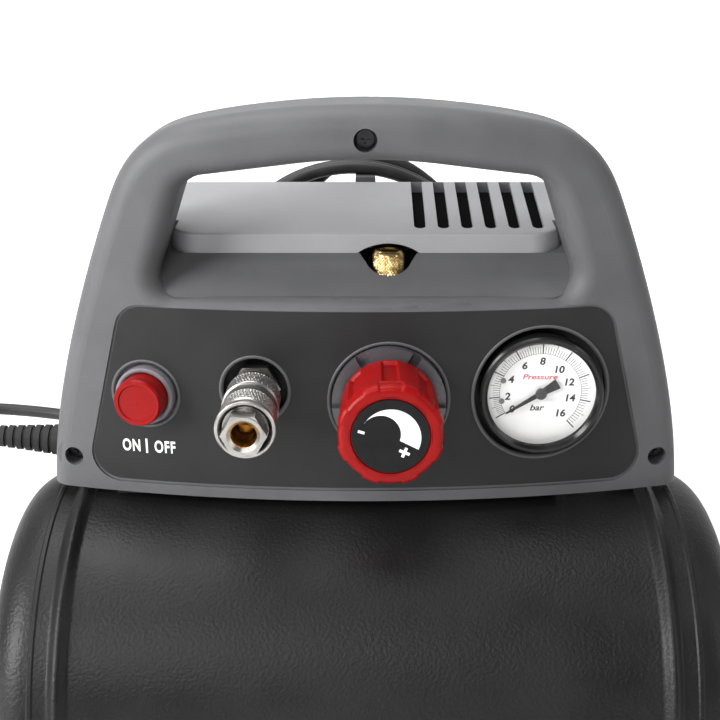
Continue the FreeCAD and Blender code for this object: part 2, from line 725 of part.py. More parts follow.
def make_coupler():
    """One-touch quick coupler: fixed body, sliding sleeve, shut-off valve and seal."""
    root = -8
    tip = 67
    at = (coupler_x, root, coupler_z)
    bore = coupler_bore
    body = [(3, 0), (7.5, 0), (7.5, 16), (9.2, 16), (9.2, tip - 9), (8, tip - 9), (8, tip),
            (6.6, tip), (bore, tip - 1.6), (bore, 41), (5.6, 41), (5.6, 27), (3, 27)]
    turned = lathe("coupler_tube", body, at, "-Y")
    flats = hexagon("coupler_flats", 19, 5, (coupler_x, root - 8, coupler_z), "-Y")
    passage = rod("coupler_passage", 7, 30, (coupler_x, root, coupler_z), "-Y")
    nut = cut("coupler_nut", flats, [passage])
    end = hexagon("coupler_end", 16, 7, (coupler_x, root - tip + 7.4, coupler_z), "-Y")
    mouth = rod("coupler_mouth", 7, 9, (coupler_x, root - tip + 8, coupler_z), "-Y")
    end_nut = cut("coupler_end_nut", end, [mouth])
    node("coupler_body", join("coupler_body", [turned, nut, end_nut]))
    inner = 9.5
    r = sleeve_radius
    sleeve = [(inner, 0), (r - 0.5, 0), (r, 0.8), (r, 12), (r - 1, 13), (r - 1, 20), (r, 21),
              (r, 31), (r - 0.8, 32), (r - 0.8, 34), (r + 0.4, 36.4), (r, 37), (inner, 37)]
    seat = tip - 6.5 - 37
    node("coupler_sleeve", lathe("coupler_sleeve", sleeve, (coupler_x, root - seat, coupler_z),
                                 "-Y"))
    valve = [(0, 0), (2.2, 0), (2.2, 3), (5, 3), (5, 7), (0, 7)]
    node("coupler_valve", lathe("coupler_valve", valve, (coupler_x, root - 31, coupler_z), "-Y"))
    seal = [(3.4, 0), (5.5, 0), (5.5, 2.2), (3.4, 2.2)]
    node("coupler_seal", lathe("coupler_seal", seal, (coupler_x, root - 38.3, coupler_z), "-Y"))


def make_regulator():
    """Pressure regulator with its castellated collar, fluted knob and label disc."""
    inner = -knob_face
    length = 35
    r = knob_radius
    at = (knob_x, inner + length, knob_z)
    shape = [(13.4, 0), (r - 1.9, 0), (r - 1.2, 1), (r - 1.2, 24), (r, 28), (r, 33),
             (r - 1, 34.6), (r - 2.4, length), (15.9, length), (15.9, length - 0.8),
             (0, length - 0.8), (0, 26), (13.4, 26)]
    knob = lathe("knob_blank", shape, at, "-Y")
    flute_reach = r + 3.4
    first = [(flute_reach, -4.2), (flute_reach, 4.2), (r - 1.6, 2.6), (r - 1.6, -2.6)]
    flute = pocket_through(knob, "flute", first, -1, 26)
    repeat_round(knob, flute, 8, "flutes")
    node("regulator_knob", knob)
    label = [(0, 0), (15.5, 0), (15.5, 0.9), (0, 0.9)]
    node("knob_label", lathe("knob_label", label, (knob_x, inner + 0.7, knob_z), "-Y"))
    collar = [(15.4, 0), (20, 0), (20, 11.5), (24.4, 11.5), (24.4, 16.5), (16.6, 16.5),
              (15.4, 14)]
    ring = lathe("collar_blank", collar, (knob_x, -11, knob_z), "-Y")
    tooth_gap = pocket_through(ring, "gap", [(25, -2.4), (25, 2.4), (19, 2.4), (19, -2.4)], 13.5,
                              4)
    repeat_round(ring, tooth_gap, 6, "gaps")
    node("regulator_collar", ring)
    bonnet = [(0, 0), (15, 0), (15, 17), (12.4, 19), (12.4, 42), (5, 44), (0, 44)]
    node("regulator_body", lathe("regulator_body", bonnet, (knob_x, -8, knob_z), "-Y"))


def make_gauge():
    """Bourdon gauge: case, dial, pointer on its arbor, lens and bezel."""
    back = -1
    r = bezel_radius
    at = (gauge_x, back, gauge_z)
    case = [(1.4, 0), (r - 1.2, 0), (r - 1.2, 18), (r - 2.4, 18), (r - 2.4, 2), (1.4, 2)]
    node("gauge_case", lathe("gauge_case", case, at, "-Y"))
    dial = [(1.4, 0), (r - 2.5, 0), (r - 2.5, 0.6), (1.4, 0.6)]
    node("gauge_dial", lathe("gauge_dial", dial, (gauge_x, back - 16.8, gauge_z), "-Y"))
    glass = [(0, 0), (r - 2.5, 0), (r - 2.5, 1), (0, 1)]
    node("gauge_lens", lathe("gauge_lens", glass, (gauge_x, back - 20.4, gauge_z), "-Y"))
    rim = [(r - 1.1, 0), (r, 0), (r, 6.6), (r - 0.8, 7.4), (r - 2, 7.4), (r - 3.2, 6.2),
           (r - 3.2, 5.8), (r - 1.1, 5.8)]
    node("gauge_bezel", lathe("gauge_bezel", rim, (gauge_x, back - 15.6, gauge_z), "-Y"))
    turn = Rotation(Vector(1, 0, 0), 90)
    zero = Rotation(Vector(0, 0, 1), float(zero_mark))
    hub = Part.makeCylinder(2.2, 1.6, Vector(0, 0, 0.5))
    arbor = Part.makeCylinder(1.2, 18, Vector(0, 0, -16.6))
    blade = Part.makePolygon([Vector(0, -1.1, 0.8), Vector(17.5, -0.3, 0.8),
                              Vector(17.5, 0.3, 0.8), Vector(0, 1.1, 0.8), Vector(0, -1.1, 0.8)])
    tail = Part.makePolygon([Vector(0, -1.2, 0.8), Vector(-8.5, -2.3, 0.8),
                             Vector(-8.5, 2.3, 0.8), Vector(0, 1.2, 0.8), Vector(0, -1.2, 0.8)])
    sheets = [Part.Face(outline).extrude(Vector(0, 0, 0.7)) for outline in (blade, tail)]
    pointer = formed("gauge_pointer", hub.fuse([arbor] + sheets).removeSplitter())
    place(pointer, (gauge_x, back - 17.6, gauge_z), turn.multiply(zero))
    node("gauge_pointer", pointer)



def make_safety_valve():
    """Brass safety valve standing in the shelf, with a pull cap."""
    foot = 268
    at = (valve_x, valve_y, foot)
    stem = [(0, 0), (5.6, 0), (5.6, 23), (3.8, 23), (3.8, 31.5), (0, 31.5)]
    turned = lathe("valve_stem", stem, at)
    nut = hexagon("valve_nut", 12, 6, (valve_x, valve_y, foot + 3))
    node("safety_valve_body", join("safety_valve_body", [turned, nut]))
    r = valve_radius
    tall = valve_top - foot - 24
    cap = [(4.2, 0), (r - 1, 0), (r - 1, 7), (r - 0.2, 8), (r, 8.8), (r, 21.4),
           (r - 0.4, 22.2), (r - 1.2, tall), (0, tall), (0, 12), (4.2, 12)]
    node("safety_valve_cap", lathe("safety_valve_cap", cap, (valve_x, valve_y, foot + 24)))


def make_manifold():
    """Brass block that feeds coupler, regulator, gauge and safety valve, and its pipes."""
    bar = block("manifold_bar", (82, 10, 22), (-58, -8, 246))
    riser = block("manifold_riser", (23, 12, 22), (-4, 1, 246))
    elbow = doc.addObject("Part::Sphere", "gauge_elbow")
    elbow.Radius = 5
    place(elbow, (gauge_x, 5, gauge_z))
    run = rod("gauge_run", 2.6, gauge_x - 19, (19, 5, gauge_z), "X")
    stub = rod("gauge_stub", 3.2, 6, (gauge_x, 5, gauge_z), "-Y")
    node("manifold", join("manifold", [bar, riser]))
    node("gauge_pipe", join("gauge_pipe", [elbow, run, stub]))
    node("feed_pipe", rod("feed_pipe", 2.9, 43, (-22, -2, 203)))


def make_control_plate():
    """Plate behind the panel that closes its holes round the three air controls."""
    sheet_metal = block("plate_blank", (172, 2, 60), (-68, -11, 229))
    holes = [rod(f"plate_hole_{name}", radius, 8, (x, -14, z), "Y") for name, radius, x, z in (
        ("coupler", 7.8, coupler_x, coupler_z), ("regulator", 15.3, knob_x, knob_z),
        ("gauge", bezel_radius - 0.9, gauge_x, gauge_z))]
    node("control_plate", cut("control_plate", sheet_metal, holes))


make_button()
make_coupler()
make_regulator()
make_gauge()
make_safety_valve()
make_manifold()
make_control_plate()


# --------------------------------------------------------------------------- the pump

def make_deck():
    """Sheet bridge welded over the tank, with the cradle that holds the motor."""
    plate = block("deck_plate", (198, 68, 3), (-112, -10, housing_base - 3))
    legs = [block(f"deck_leg_{n}", (3, 54, 60), (x, 4, housing_base - 60))
            for n, x in enumerate((-112, 83))]
    sheet_metal = join("deck_sheet", [plate] + legs)
    room = rod("deck_room", tank_radius, 240, (-120, 0, tank_axis), "X")
    feed_hole = rod("deck_feed_hole", 4, 10, (-22, -2, housing_base - 6))
    node("pump_deck", cut("pump_deck", sheet_metal, [room, feed_hole]))
    saddles = join("saddle_blocks", [
        block(f"saddle_{n}", (9, 34, 26), (x, shaft_y - 17, housing_base))
        for n, x in enumerate((-64, -22))])
    seat = rod("saddle_room", motor_radius, 90, (-80, shaft_y, shaft_z), "X")
    node("motor_cradle", cut("motor_cradle", saddles, [seat]))


def make_motor():
    """Motor can with end vents, stator pack, and the turning rotor with fan and crank."""
    start = -72
    at = (start, shaft_y, shaft_z)
    r = motor_radius
    can = [(5.06, 0), (r, 0), (r, 66), (5.06, 66), (5.06, 62), (r - 2.5, 62), (r - 2.5, 4),
           (5.06, 4)]
    shell = lathe("motor_can", can, at, "X")
    vent = pocket_through(shell, "vent", [(12, -2.5), (12, 2.5), (22, 3.5), (22, -3.5)], -1, 80)
    repeat_round(shell, vent, 8, "vents")
    node("motor_housing", shell)
    core = [(18, 0), (r - 2.5, 0), (r - 2.5, 42), (18, 42)]
    node("stator_core", lathe("stator_core", core, (start + 12, shaft_y, shaft_z), "X"))
    shaft = [(0, 0), (5, 0), (5, 27), (17.5, 27), (17.5, 69), (10, 69), (10, 77), (5, 77),
             (5, 116), (12, 116), (12, 124), (0, 124)]
    turned = lathe("rotor_shaft", shaft, (start - 16, shaft_y, shaft_z), "X")
    disc_face = start - 16 + 124
    pin = rod("crank_pin", 3.5, 5.5, (disc_face, shaft_y, shaft_z - crank_throw), "X")
    node("motor_rotor", join("motor_rotor", [turned, pin]))
    hub = [(5, 0), (9, 0), (9, 7), (25, 7), (25, 8.5), (5, 8.5)]
    wheel = lathe("fan_hub", hub, (start - 14, shaft_y, shaft_z), "X")
    blades = []
    for n in range(9):
        lean = Rotation(Vector(1, 0, 0), 40 * n)
        spot = Vector(start - 14, float(shaft_y), float(shaft_z))
        blade = formed(f"fan_blade_{n}", Part.makeBox(7, 16, 1.6, Vector(0.2, 8.6, -0.8)))
        blade.Placement = Placement(spot, lean)
        blades.append(blade)
    node("cooling_fan", join("cooling_fan", [wheel] + blades))


def make_pump():
    """Crankcase, finned cylinder, valve plate, head and the one-piece rod and piston."""
    start = 20
    case = join("crankcase_mass", [
        rod("crankcase_round", 23.4, 46, (start, shaft_y, shaft_z), "X"),
        rod("crankcase_neck", 21.5, 14, (cylinder_x, shaft_y, 258)),
        block("crankcase_foot", (34, 32, 22), (30, shaft_y - 16, housing_base)),
    ])
    hollow = [
        rod("crankcase_room", 17.5, 38, (start + 4, shaft_y, shaft_z), "X"),
        rod("crankcase_mouth", bore_radius + 0.3, 24, (cylinder_x, shaft_y, shaft_z)),
        rod("crankcase_bearing", 5.06, 10, (start - 2, shaft_y, shaft_z), "X"),
        block("crankcase_above", (60, 60, 10), (start - 5, shaft_y - 30, 272)),
    ]
    node("crankcase", cut("crankcase", case, hollow))
    fin, gap = 2, 4
    foot = 272
    tip, root, tall = 22.5, 20.8, 32
    profile = [(bore_radius, 0), (tip, 0)]
    for n in range(7):
        z = fin + gap * n
        profile += [(tip, z), (root, z), (root, z + gap - fin), (tip, z + gap - fin)]
    profile += [(tip, tall), (bore_radius, tall)]
    node("cylinder", lathe("cylinder", profile, (cylinder_x, shaft_y, foot)))
    plate = [(0, 0), (tip, 0), (tip, 2), (0, 2)]
    node("valve_plate", lathe("valve_plate", plate, (cylinder_x, shaft_y, foot + 32)))
    dome = rod("head_dome", tip, 8, (cylinder_x, shaft_y, foot + 34))
    ribs = [block(f"head_rib_{n}", (3, 19, 3), (cylinder_x - 15 + 9 * n, shaft_y - 9.5, foot + 42))
            for n in range(4)]
    ear = block("head_ear", (13, 12, 8), (cylinder_x + 18, shaft_y - 6, foot + 34))
    node("cylinder_head", join("cylinder_head", [dome, ear] + ribs))
    bolts = []
    for n in range(4):
        angle = math.radians(45 + 90 * n)
        spot = (cylinder_x + 19 * math.cos(angle), shaft_y + 19 * math.sin(angle), foot + 42)
        bolts.append(hexagon(f"head_bolt_{n}", 5.5, 3.2, spot))
    group = doc.addObject("Part::Compound", "head_bolts")
    group.Links = bolts
    node("head_bolts", group)
    low_pin = shaft_z - crank_throw
    eye = rod("rod_eye", 7, 7, (42, shaft_y, low_pin), "X")
    eye_hole = rod("rod_eye_hole", 3.6, 9, (41, shaft_y, low_pin), "X")
    beam = block("rod_beam", (7, 9, 34), (42, shaft_y - 4.5, low_pin + 4))
    crown = rod("piston_crown", bore_radius - 0.3, 10.6, (cylinder_x, shaft_y, low_pin + 36))
    whole = join("piston_blank", [eye, beam, crown])
    node("piston_rod", cut("piston_rod", whole, [eye_hole]))


def make_pipes():
    """Copper pipe from the head down to the check valve on the tank."""
    under_ear = float(cylinder_x) + 28
    route = [(under_ear, 31, 306), (under_ear, 31, 268), (97, 30.2, 250), (98, 30, 224)]
    copper, _, _ = tube(route, 2.6)
    node("delivery_pipe", formed("delivery_pipe", copper))
    at = (98, 30, 196)
    turned = lathe("check_valve_barrel", [(0, 0), (3.9, 0), (3.9, 6), (7, 6), (7, 24), (5, 28),
                                          (0, 28)], at)
    nut = hexagon("check_valve_nut", 17, 9, (98, 30, 206))
    node("check_valve", join("check_valve", [turned, nut]))


def make_drain():
    """Drain cock under the tank: a brass seat and a knurled screw knob."""
    seat = [(2.3, 0), (8, 0), (8, 11.5), (3.9, 11.5), (3.9, 15), (0, 15), (0, 7), (2.3, 7)]
    node("drain_seat", lathe("drain_seat", seat, (0, 0, 13.2)))
    knob = [(0, 0), (7, 0), (7.6, 0.6), (7.6, 6.4), (7, 7), (2.2, 7), (2.2, 13), (0, 13)]
    turned = lathe("drain_knob_round", knob, (0, 0, 5.4))
    wings = block("drain_wings", (24, 3, 6), (-12, -1.5, 5.6))
    node("drain_knob", join("drain_knob", [turned, wings]))


def make_screws():
    """Housing screws seen from the front: two at the panel's corners, one in the handle."""
    def screw(name, x, z, head_y, long):
        head = rod(name + "_head", 3.6, 2.6, (x, head_y, z), "Y")
        shank = rod(name + "_shank", 1.55, long, (x, head_y, z), "Y")
        slots = [block(name + "_slot_a", (4, 1.6, 1), (x - 2, head_y - 0.4, z - 0.5)),
                 block(name + "_slot_b", (1, 1.6, 4), (x - 0.5, head_y - 0.4, z - 2))]
        return cut(name, join(name + "_mass", [head, shank]), slots)

    node("handle_screw", screw("handle_screw", *HANDLE_SCREW, -18.6, 34))
    group = doc.addObject("Part::Compound", "corner_screws")
    group.Links = [screw(f"corner_screw_{n}", x, z, -1.6, 12)
                   for n, (x, z) in enumerate(CORNER_SCREWS)]
    node("corner_screws", group)


# ---------------------------------------------------------------------- the mains lead

LEAD_EXIT = (-174, 20.5, 221.5)
LEAD_ROUTE = [
    LEAD_EXIT, (-203, 20.5, 223.5), (-224, 41, 220), (-226, 71, 214), (-204, 90, 209),
    (-174, 91, 206.5), (-138, 81, 205.3), (-98, 72, 205), (-50, 68.6, 204.9), (-6, 68.2, 205),
]
TAIL_ROUTE = [
    (40, 83.6, 322.6), (16, 83.9, 342), (-12, 84.2, 343), (-33, 84.4, 322),
    (-38, 84.6, 306), (-38, 84.6, 290),
]


def make_lead():
    """Strain relief, the lead to its coil on the hook, the coil, the tail and the plug."""
    root = Vector(-135.5, 20.5, 218.8)
    heading = Vector(*LEAD_EXIT) - root
    boot = [(0, 0), (9, 0), (9, 2.4), (6.9, 2.4), (6.9, 10), (4.6, heading.Length),
            (0, heading.Length)]
    node("strain_relief", lathe("strain_relief", boot, tuple(root),
                                Rotation(Vector(0, 0, 1), heading)))
    radius = float(cord_radius)
    for name, route in (("cord_lead", LEAD_ROUTE), ("cord_tail", TAIL_ROUTE)):
        solid, radii, length = tube(route, radius)
        print(name, "length", round(length), "arc radii", [round(r, 1) for r in radii])
        node(name, formed(name, solid))
    near, far = 64.9, 87.0
    sag = 4
    ring = rod("coil_outside", coil_radius + 7.3, far - near, (coil_x, near, coil_z - sag), "Y")
    inside = rod("coil_inside", coil_radius - 3.4, far - near + 2, (coil_x, near - 1, coil_z),
                 "Y")
    node("cord_coil", cut("cord_coil", ring, [inside]))
    plug = [(0, 0), (4.8, 0), (6.4, 14), (13, 18), (18.5, 26), (18.5, 42), (17.3, 44), (0, 44)]
    tail = TAIL_ROUTE[-1]
    node("plug_body", lathe("plug_body", plug, tail, "-Z"))
    pins = doc.addObject("Part::Compound", "plug_pins")
    pins.Links = [rod(f"plug_pin_{n}", 2.4, 19, (tail[0] + x, tail[1], tail[2] - 44), "-Z")
                  for n, x in enumerate((-9.5, 9.5))]
    node("plug_pins", pins)


def make_hook():
    """Cord hook screwed to the rear shell: a tapered post and a peg with a raised lip."""
    back = float(housing_back)
    peg_top = 336.5
    profile = Part.makePolygon([
        Vector(-8, back, 268), Vector(8, back, 268), Vector(4.7, back, peg_top),
        Vector(-4.7, back, peg_top), Vector(-8, back, 268)])
    post_plate = Part.Face(profile).extrude(Vector(0, 2.2, 0))
    rib = box((-1.2, back + 2, 270), (1.2, back + 3.2, peg_top - 1))
    peg = box((-4.7, back, peg_top - 4), (4.7, 90, peg_top))
    lip = box((-4.7, 87.4, peg_top - 4), (4.7, 90, peg_top + 11))
    hook = post_plate.fuse([rib, peg, lip]).removeSplitter()
    node("cord_hook", formed("cord_hook", hook))
    screws = doc.addObject("Part::Compound", "hook_screws")
    screws.Links = [rod(f"hook_screw_{z}", 2.6, 1.6, (0, back + 3.2, z), "Y")
                    for z in (276, 292)]
    node("hook_screws", screws)


make_deck()
make_motor()
make_pump()
make_pipes()
make_drain()
make_screws()
make_lead()
make_hook()


# ------------------------------------------------------------------- checks and export

doc.recompute()
for thing in doc.Objects:
    if {"Invalid", "Error"} & set(thing.State):
        raise RuntimeError(f"{thing.Name} did not build: {thing.State}")
for label, piece in sub_parts.items():
    if piece.Shape.isNull() or not piece.Shape.isValid() or not piece.Shape.Solids:
        raise RuntimeError(f"{label} is not a valid solid")

os.makedirs("parts", exist_ok=True)
for label, piece in sub_parts.items():
    piece.Shape.exportStep(f"parts/{label}.step")
    limits = piece.Shape.BoundBox
    print(f"{label}: {len(piece.Shape.Solids)} solid(s), {piece.Shape.Volume / 1000:.1f} cm3,",
          f"z {limits.ZMin:.1f} to {limits.ZMax:.1f}")
print(len(sub_parts), "sub-parts")
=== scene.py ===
import json
import math

import bmesh
import bpy
from mathutils import Matrix, Vector


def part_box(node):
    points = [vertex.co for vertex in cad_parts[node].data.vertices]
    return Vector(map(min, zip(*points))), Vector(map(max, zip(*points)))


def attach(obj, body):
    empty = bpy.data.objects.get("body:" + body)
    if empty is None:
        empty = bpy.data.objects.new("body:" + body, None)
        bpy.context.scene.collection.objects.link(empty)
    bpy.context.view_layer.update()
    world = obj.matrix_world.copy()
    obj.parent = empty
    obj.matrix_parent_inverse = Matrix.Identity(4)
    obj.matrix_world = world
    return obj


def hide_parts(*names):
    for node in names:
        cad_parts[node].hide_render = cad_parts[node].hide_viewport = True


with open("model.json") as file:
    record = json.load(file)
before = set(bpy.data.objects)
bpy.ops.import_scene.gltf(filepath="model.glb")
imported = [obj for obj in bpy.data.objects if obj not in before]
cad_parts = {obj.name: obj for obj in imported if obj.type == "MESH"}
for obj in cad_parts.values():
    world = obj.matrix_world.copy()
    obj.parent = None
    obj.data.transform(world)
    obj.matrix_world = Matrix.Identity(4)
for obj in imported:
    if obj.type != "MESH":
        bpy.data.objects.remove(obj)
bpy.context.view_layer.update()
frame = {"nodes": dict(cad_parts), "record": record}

MM = 0.001


# ------------------------------------------------------------------------------- camera

def make_camera():
    """Looks down on the front of the compressor from a little above it."""
    data = bpy.data.cameras.new("camera")
    data.lens = 60
    data.sensor_width = 36
    data.shift_x = -0.0076
    camera = bpy.data.objects.new("camera", data)
    camera.location = (0, -0.505, 0.437)
    camera.rotation_euler = (math.radians(71.3), 0, 0)
    bpy.context.scene.collection.objects.link(camera)
    bpy.context.scene.camera = camera


make_camera()


# ---------------------------------------------------------------------------- materials

class Finish:
    """A node material under construction: its shader and short ways to feed it."""

    def __init__(self, name):
        self.material = bpy.data.materials.new(name)
        self.material.use_nodes = True
        self.tree = self.material.node_tree
        self.shader = self.tree.nodes["Principled BSDF"]
        self.height = None

    def node(self, kind, **settings):
        made = self.tree.nodes.new(kind)
        for key, value in settings.items():
            setattr(made, key, value)
        return made

    def link(self, source, target):
        self.tree.links.new(source, target)

    def set(self, **values):
        """Uniform values go straight onto the shader's sockets."""
        for key, value in values.items():
            self.shader.inputs[key.replace("_", " ")].default_value = value
        return self

    def place(self, stretch=(1, 1, 1)):
        """Object coordinates, optionally stretched, as a place for textures."""
        where = self.node("ShaderNodeTexCoord")
        scaled = self.node("ShaderNodeMapping")
        scaled.inputs["Scale"].default_value = stretch
        self.link(where.outputs["Object"], scaled.inputs["Vector"])
        return scaled.outputs["Vector"]

    def noise(self, size_mm, detail=2.0, stretch=(1, 1, 1)):
        """Noise whose grains are about size_mm across."""
        made = self.node("ShaderNodeTexNoise")
        made.inputs["Scale"].default_value = 1 / (size_mm * MM)
        made.inputs["Detail"].default_value = detail
        self.link(self.place(stretch), made.inputs["Vector"])
        return made.outputs["Fac"]

    def ramp(self, source, low, high, start=0.3, end=0.7):
        """source's range start to end becomes low to high."""
        made = self.node("ShaderNodeMapRange")
        for key, value in (("From Min", start), ("From Max", end), ("To Min", low),
                           ("To Max", high)):
            made.inputs[key].default_value = value
        self.link(source, made.inputs["Value"])
        return made.outputs["Result"]

    def colours(self, source, dark, light):
        """The base colour wanders between two colours with source."""
        made = self.node("ShaderNodeMix", data_type="RGBA")
        made.inputs["A"].default_value = (*dark, 1)
        made.inputs["B"].default_value = (*light, 1)
        self.link(self.ramp(source, 0, 1), made.inputs["Factor"])
        self.link(made.outputs["Result"], self.shader.inputs["Base Color"])
        return self

    def roughness(self, source, low, high):
        """The roughness wanders between two values with source."""
        self.link(self.ramp(source, low, high), self.shader.inputs["Roughness"])
        return self

    def bump(self, source, depth_mm):
        """Adds a height of depth_mm; a second call stacks on the first."""
        made = self.node("ShaderNodeBump")
        made.inputs["Strength"].default_value = 1.0
        made.inputs["Distance"].default_value = depth_mm * MM
        self.link(source, made.inputs["Height"])
        if self.height is not None:
            self.link(self.height, made.inputs["Normal"])
        self.height = made.outputs["Normal"]
        self.link(self.height, self.shader.inputs["Normal"])
        return self


def paint(name, dark, light, rough, peel_mm=1.3, depth_mm=0.14):
    """Sprayed paint with orange peel."""
    made = Finish(name)
    peel = made.noise(peel_mm, 1.5)
    broad = made.noise(35, 3)
    made.colours(broad, dark, light).roughness(broad, rough * 0.85, rough * 1.2)
    made.bump(peel, depth_mm)
    made.set(Specular_IOR_Level=0.27)
    return made.material


def moulded(name, dark, light, rough, grain_mm=0.5, depth_mm=0.03, gloss=0.3):
    """Moulded plastic with a spark-eroded grain and faint handling wear."""
    made = Finish(name)
    grain = made.noise(grain_mm, 3)
    wear = made.noise(22, 4)
    made.colours(wear, dark, light).roughness(wear, rough * 0.88, rough * 1.12)
    made.bump(grain, depth_mm)
    made.set(Specular_IOR_Level=gloss)
    return made.material


def metal(name, dark, light, rough, brushed=(1, 1, 1), grain_mm=0.6, depth_mm=0.01):
    """Metal with fine machining or casting marks and a little tarnish."""
    made = Finish(name)
    marks = made.noise(grain_mm, 3, brushed)
    tarnish = made.noise(7, 4)
    made.set(Metallic=1.0)
    made.colours(tarnish, dark, light).roughness(marks, rough * 0.75, rough * 1.3)
    made.bump(marks, depth_mm)
    return made.material


def rubber(name, shade, rough=0.62):
    """Rubber with a fine grain and a little dust."""
    made = Finish(name)
    grain = made.noise(0.7, 2)
    dust = made.noise(12, 4)
    dark = tuple(c * 0.8 for c in shade)
    light = tuple(c * 1.5 for c in shade)
    made.colours(dust, dark, light).roughness(dust, rough * 0.9, rough * 1.15)
    made.bump(grain, 0.02)
    made.set(Specular_IOR_Level=0.3)
    return made.material


def printed(name, dark, light, rough=0.55):
    """Screen-printed ink or a printed plate, with the weave of the ink."""
    made = Finish(name)
    ink = made.noise(0.35, 2)
    made.colours(made.noise(5, 2), dark, light).roughness(ink, rough * 0.9, rough * 1.1)
    made.bump(ink, 0.004)
    made.set(Specular_IOR_Level=0.15)
    return made.material


def clear(name):
    """A clear moulded lens with faint ripples."""
    made = Finish(name)
    ripple = made.noise(9, 1)
    made.roughness(ripple, 0.03, 0.07).bump(ripple, 0.02)
    made.set(Base_Color=(1, 1, 1, 1), Alpha=0.02, IOR=1.12)
    return made.material


FINISHES = {
    "tank_paint": paint("tank_paint", (0.006, 0.006, 0.0064), (0.009, 0.009, 0.0094), 0.45,
                        1.4, 0.24),
    "bracket_paint": paint("bracket_paint", (0.01, 0.01, 0.011), (0.016, 0.016, 0.017), 0.45,
                           1.1, 0.03),
    "black_rubber": rubber("black_rubber", (0.014, 0.014, 0.014)),
    "zinc_steel": metal("zinc_steel", (0.05, 0.05, 0.053), (0.09, 0.09, 0.095), 0.36),
    "housing_plastic": moulded("housing_plastic", (0.085, 0.085, 0.088),
                               (0.1, 0.1, 0.104), 0.5, 0.6, 0.09),
    "silver_plastic": moulded("silver_plastic", (0.27, 0.27, 0.28), (0.3, 0.3, 0.31), 0.42,
                              0.35, 0.02),
    "red_plastic": moulded("red_plastic", (0.22, 0.0025, 0.0025), (0.27, 0.003, 0.003), 0.34,
                           0.4, 0.012, 0.16),
    "grey_plastic": moulded("grey_plastic", (0.16, 0.15, 0.165), (0.2, 0.19, 0.205), 0.45),
    "black_plastic": moulded("black_plastic", (0.008, 0.008, 0.008), (0.013, 0.013, 0.013),
                             0.2, 0.8, 0.004),
    "coupler_steel": metal("coupler_steel", (0.36, 0.345, 0.33), (0.46, 0.445, 0.425), 0.33,
                           (1, 4, 1)),
    "brass": metal("brass", (0.74, 0.52, 0.22), (0.86, 0.64, 0.3), 0.22, (1, 1, 3)),
    "copper": metal("copper", (0.62, 0.26, 0.13), (0.8, 0.36, 0.2), 0.3),
    "dial_white": printed("dial_white", (0.93, 0.93, 0.92), (0.96, 0.96, 0.95), 0.5),
    "pointer_black": printed("pointer_black", (0.012, 0.012, 0.013), (0.02, 0.02, 0.021), 0.4),
    "gauge_glass": clear("gauge_glass"),
    "pump_aluminium": metal("pump_aluminium", (0.42, 0.42, 0.42), (0.56, 0.56, 0.56), 0.5,
                            (1, 1, 1), 1.2, 0.05),
    "dark_iron": metal("dark_iron", (0.07, 0.07, 0.075), (0.12, 0.12, 0.125), 0.5),
    "cord_rubber": rubber("cord_rubber", (0.02, 0.02, 0.021), 0.42),
}
PANEL_FILM = moulded("panel_film", (0.017, 0.017, 0.018), (0.022, 0.022, 0.023), 0.42, 0.5, 0.012,
                     0.2)
LABEL_FILM = printed("label_film", (0.007, 0.007, 0.0075), (0.01, 0.01, 0.0105), 0.5)
COLLAR_PLASTIC = moulded("collar_plastic", (0.055, 0.055, 0.06), (0.075, 0.073, 0.08), 0.26, 0.5,
                         0.02, 0.6)
# Near-black foam for the intake filter under the cover's slots: its colour is painted shade,
# darker than the foam itself so the slots read as deep shadow.
SLOT_SHADE_FOAM = moulded("filter_foam_painted_shade", (0.002, 0.002, 0.002), (0.004, 0.004, 0.004), 0.9, 0.9, 0.2,
                      0.05)
WHITE_INK = printed("white_ink", (0.83, 0.83, 0.83), (0.9, 0.9, 0.9))
RED_INK = printed("red_ink", (0.6, 0.04, 0.08), (0.68, 0.07, 0.11))
GREY_INK = printed("grey_ink", (0.02, 0.02, 0.022), (0.03, 0.03, 0.033))


def finish_cad_nodes():
    """Each CAD node gets the finish of its slot, and three get one of their own."""
    for part in frame["record"]["subparts"]:
        shown = frame["nodes"][part["node"]]
        shown.data.materials.clear()
        shown.data.materials.append(FINISHES[part["material_slot"]])
    # The intake filter's near-black finish is painted shade inside the slots.
    for name, finish in (("knob_label", LABEL_FILM), ("regulator_collar", COLLAR_PLASTIC),
                         ("intake_filter", SLOT_SHADE_FOAM)):
        frame["nodes"][name].data.materials[0] = finish


finish_cad_nodes()


# ---------------------------------------------------------------------- shapes from code

def show(name, mesh, finish, body):
    """Puts a finished mesh in the scene as one piece that moves with a body."""
    piece = bpy.data.objects.new(name, mesh)
    bpy.context.scene.collection.objects.link(piece)
    mesh.materials.clear()
    mesh.materials.append(finish)
    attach(piece, body)
    return piece


def solid_mesh(name, points, faces, smooth_below=35):
    """A mesh with outward normals; edges sharper than smooth_below degrees stay crisp."""
    mesh = bpy.data.meshes.new(name)
    mesh.from_pydata(points, [], faces)
    shape = bmesh.new()
    shape.from_mesh(mesh)
    bmesh.ops.remove_doubles(shape, verts=shape.verts, dist=1e-7)
    bmesh.ops.recalc_face_normals(shape, faces=shape.faces)
    shape.to_mesh(mesh)
    shape.free()
    mesh.shade_smooth()
    mesh.set_sharp_from_angle(angle=math.radians(smooth_below))
    return mesh


def facing(direction):
    """The turn that takes +Z to a direction and keeps the first cross axis level."""
    toward = Vector(direction).normalized()
    across = Vector((1, 0, 0)) if abs(toward.x) < 0.8 else Vector((0, 1, 0))
    across = (across - toward * across.dot(toward)).normalized()
    up = toward.cross(across)
    return Matrix((across, up, toward)).transposed().to_4x4()


def frame_at(at_mm, direction):
    """A place in mm whose own +Z points along a direction."""
    return Matrix.Translation(Vector(at_mm) * MM) @ facing(direction)


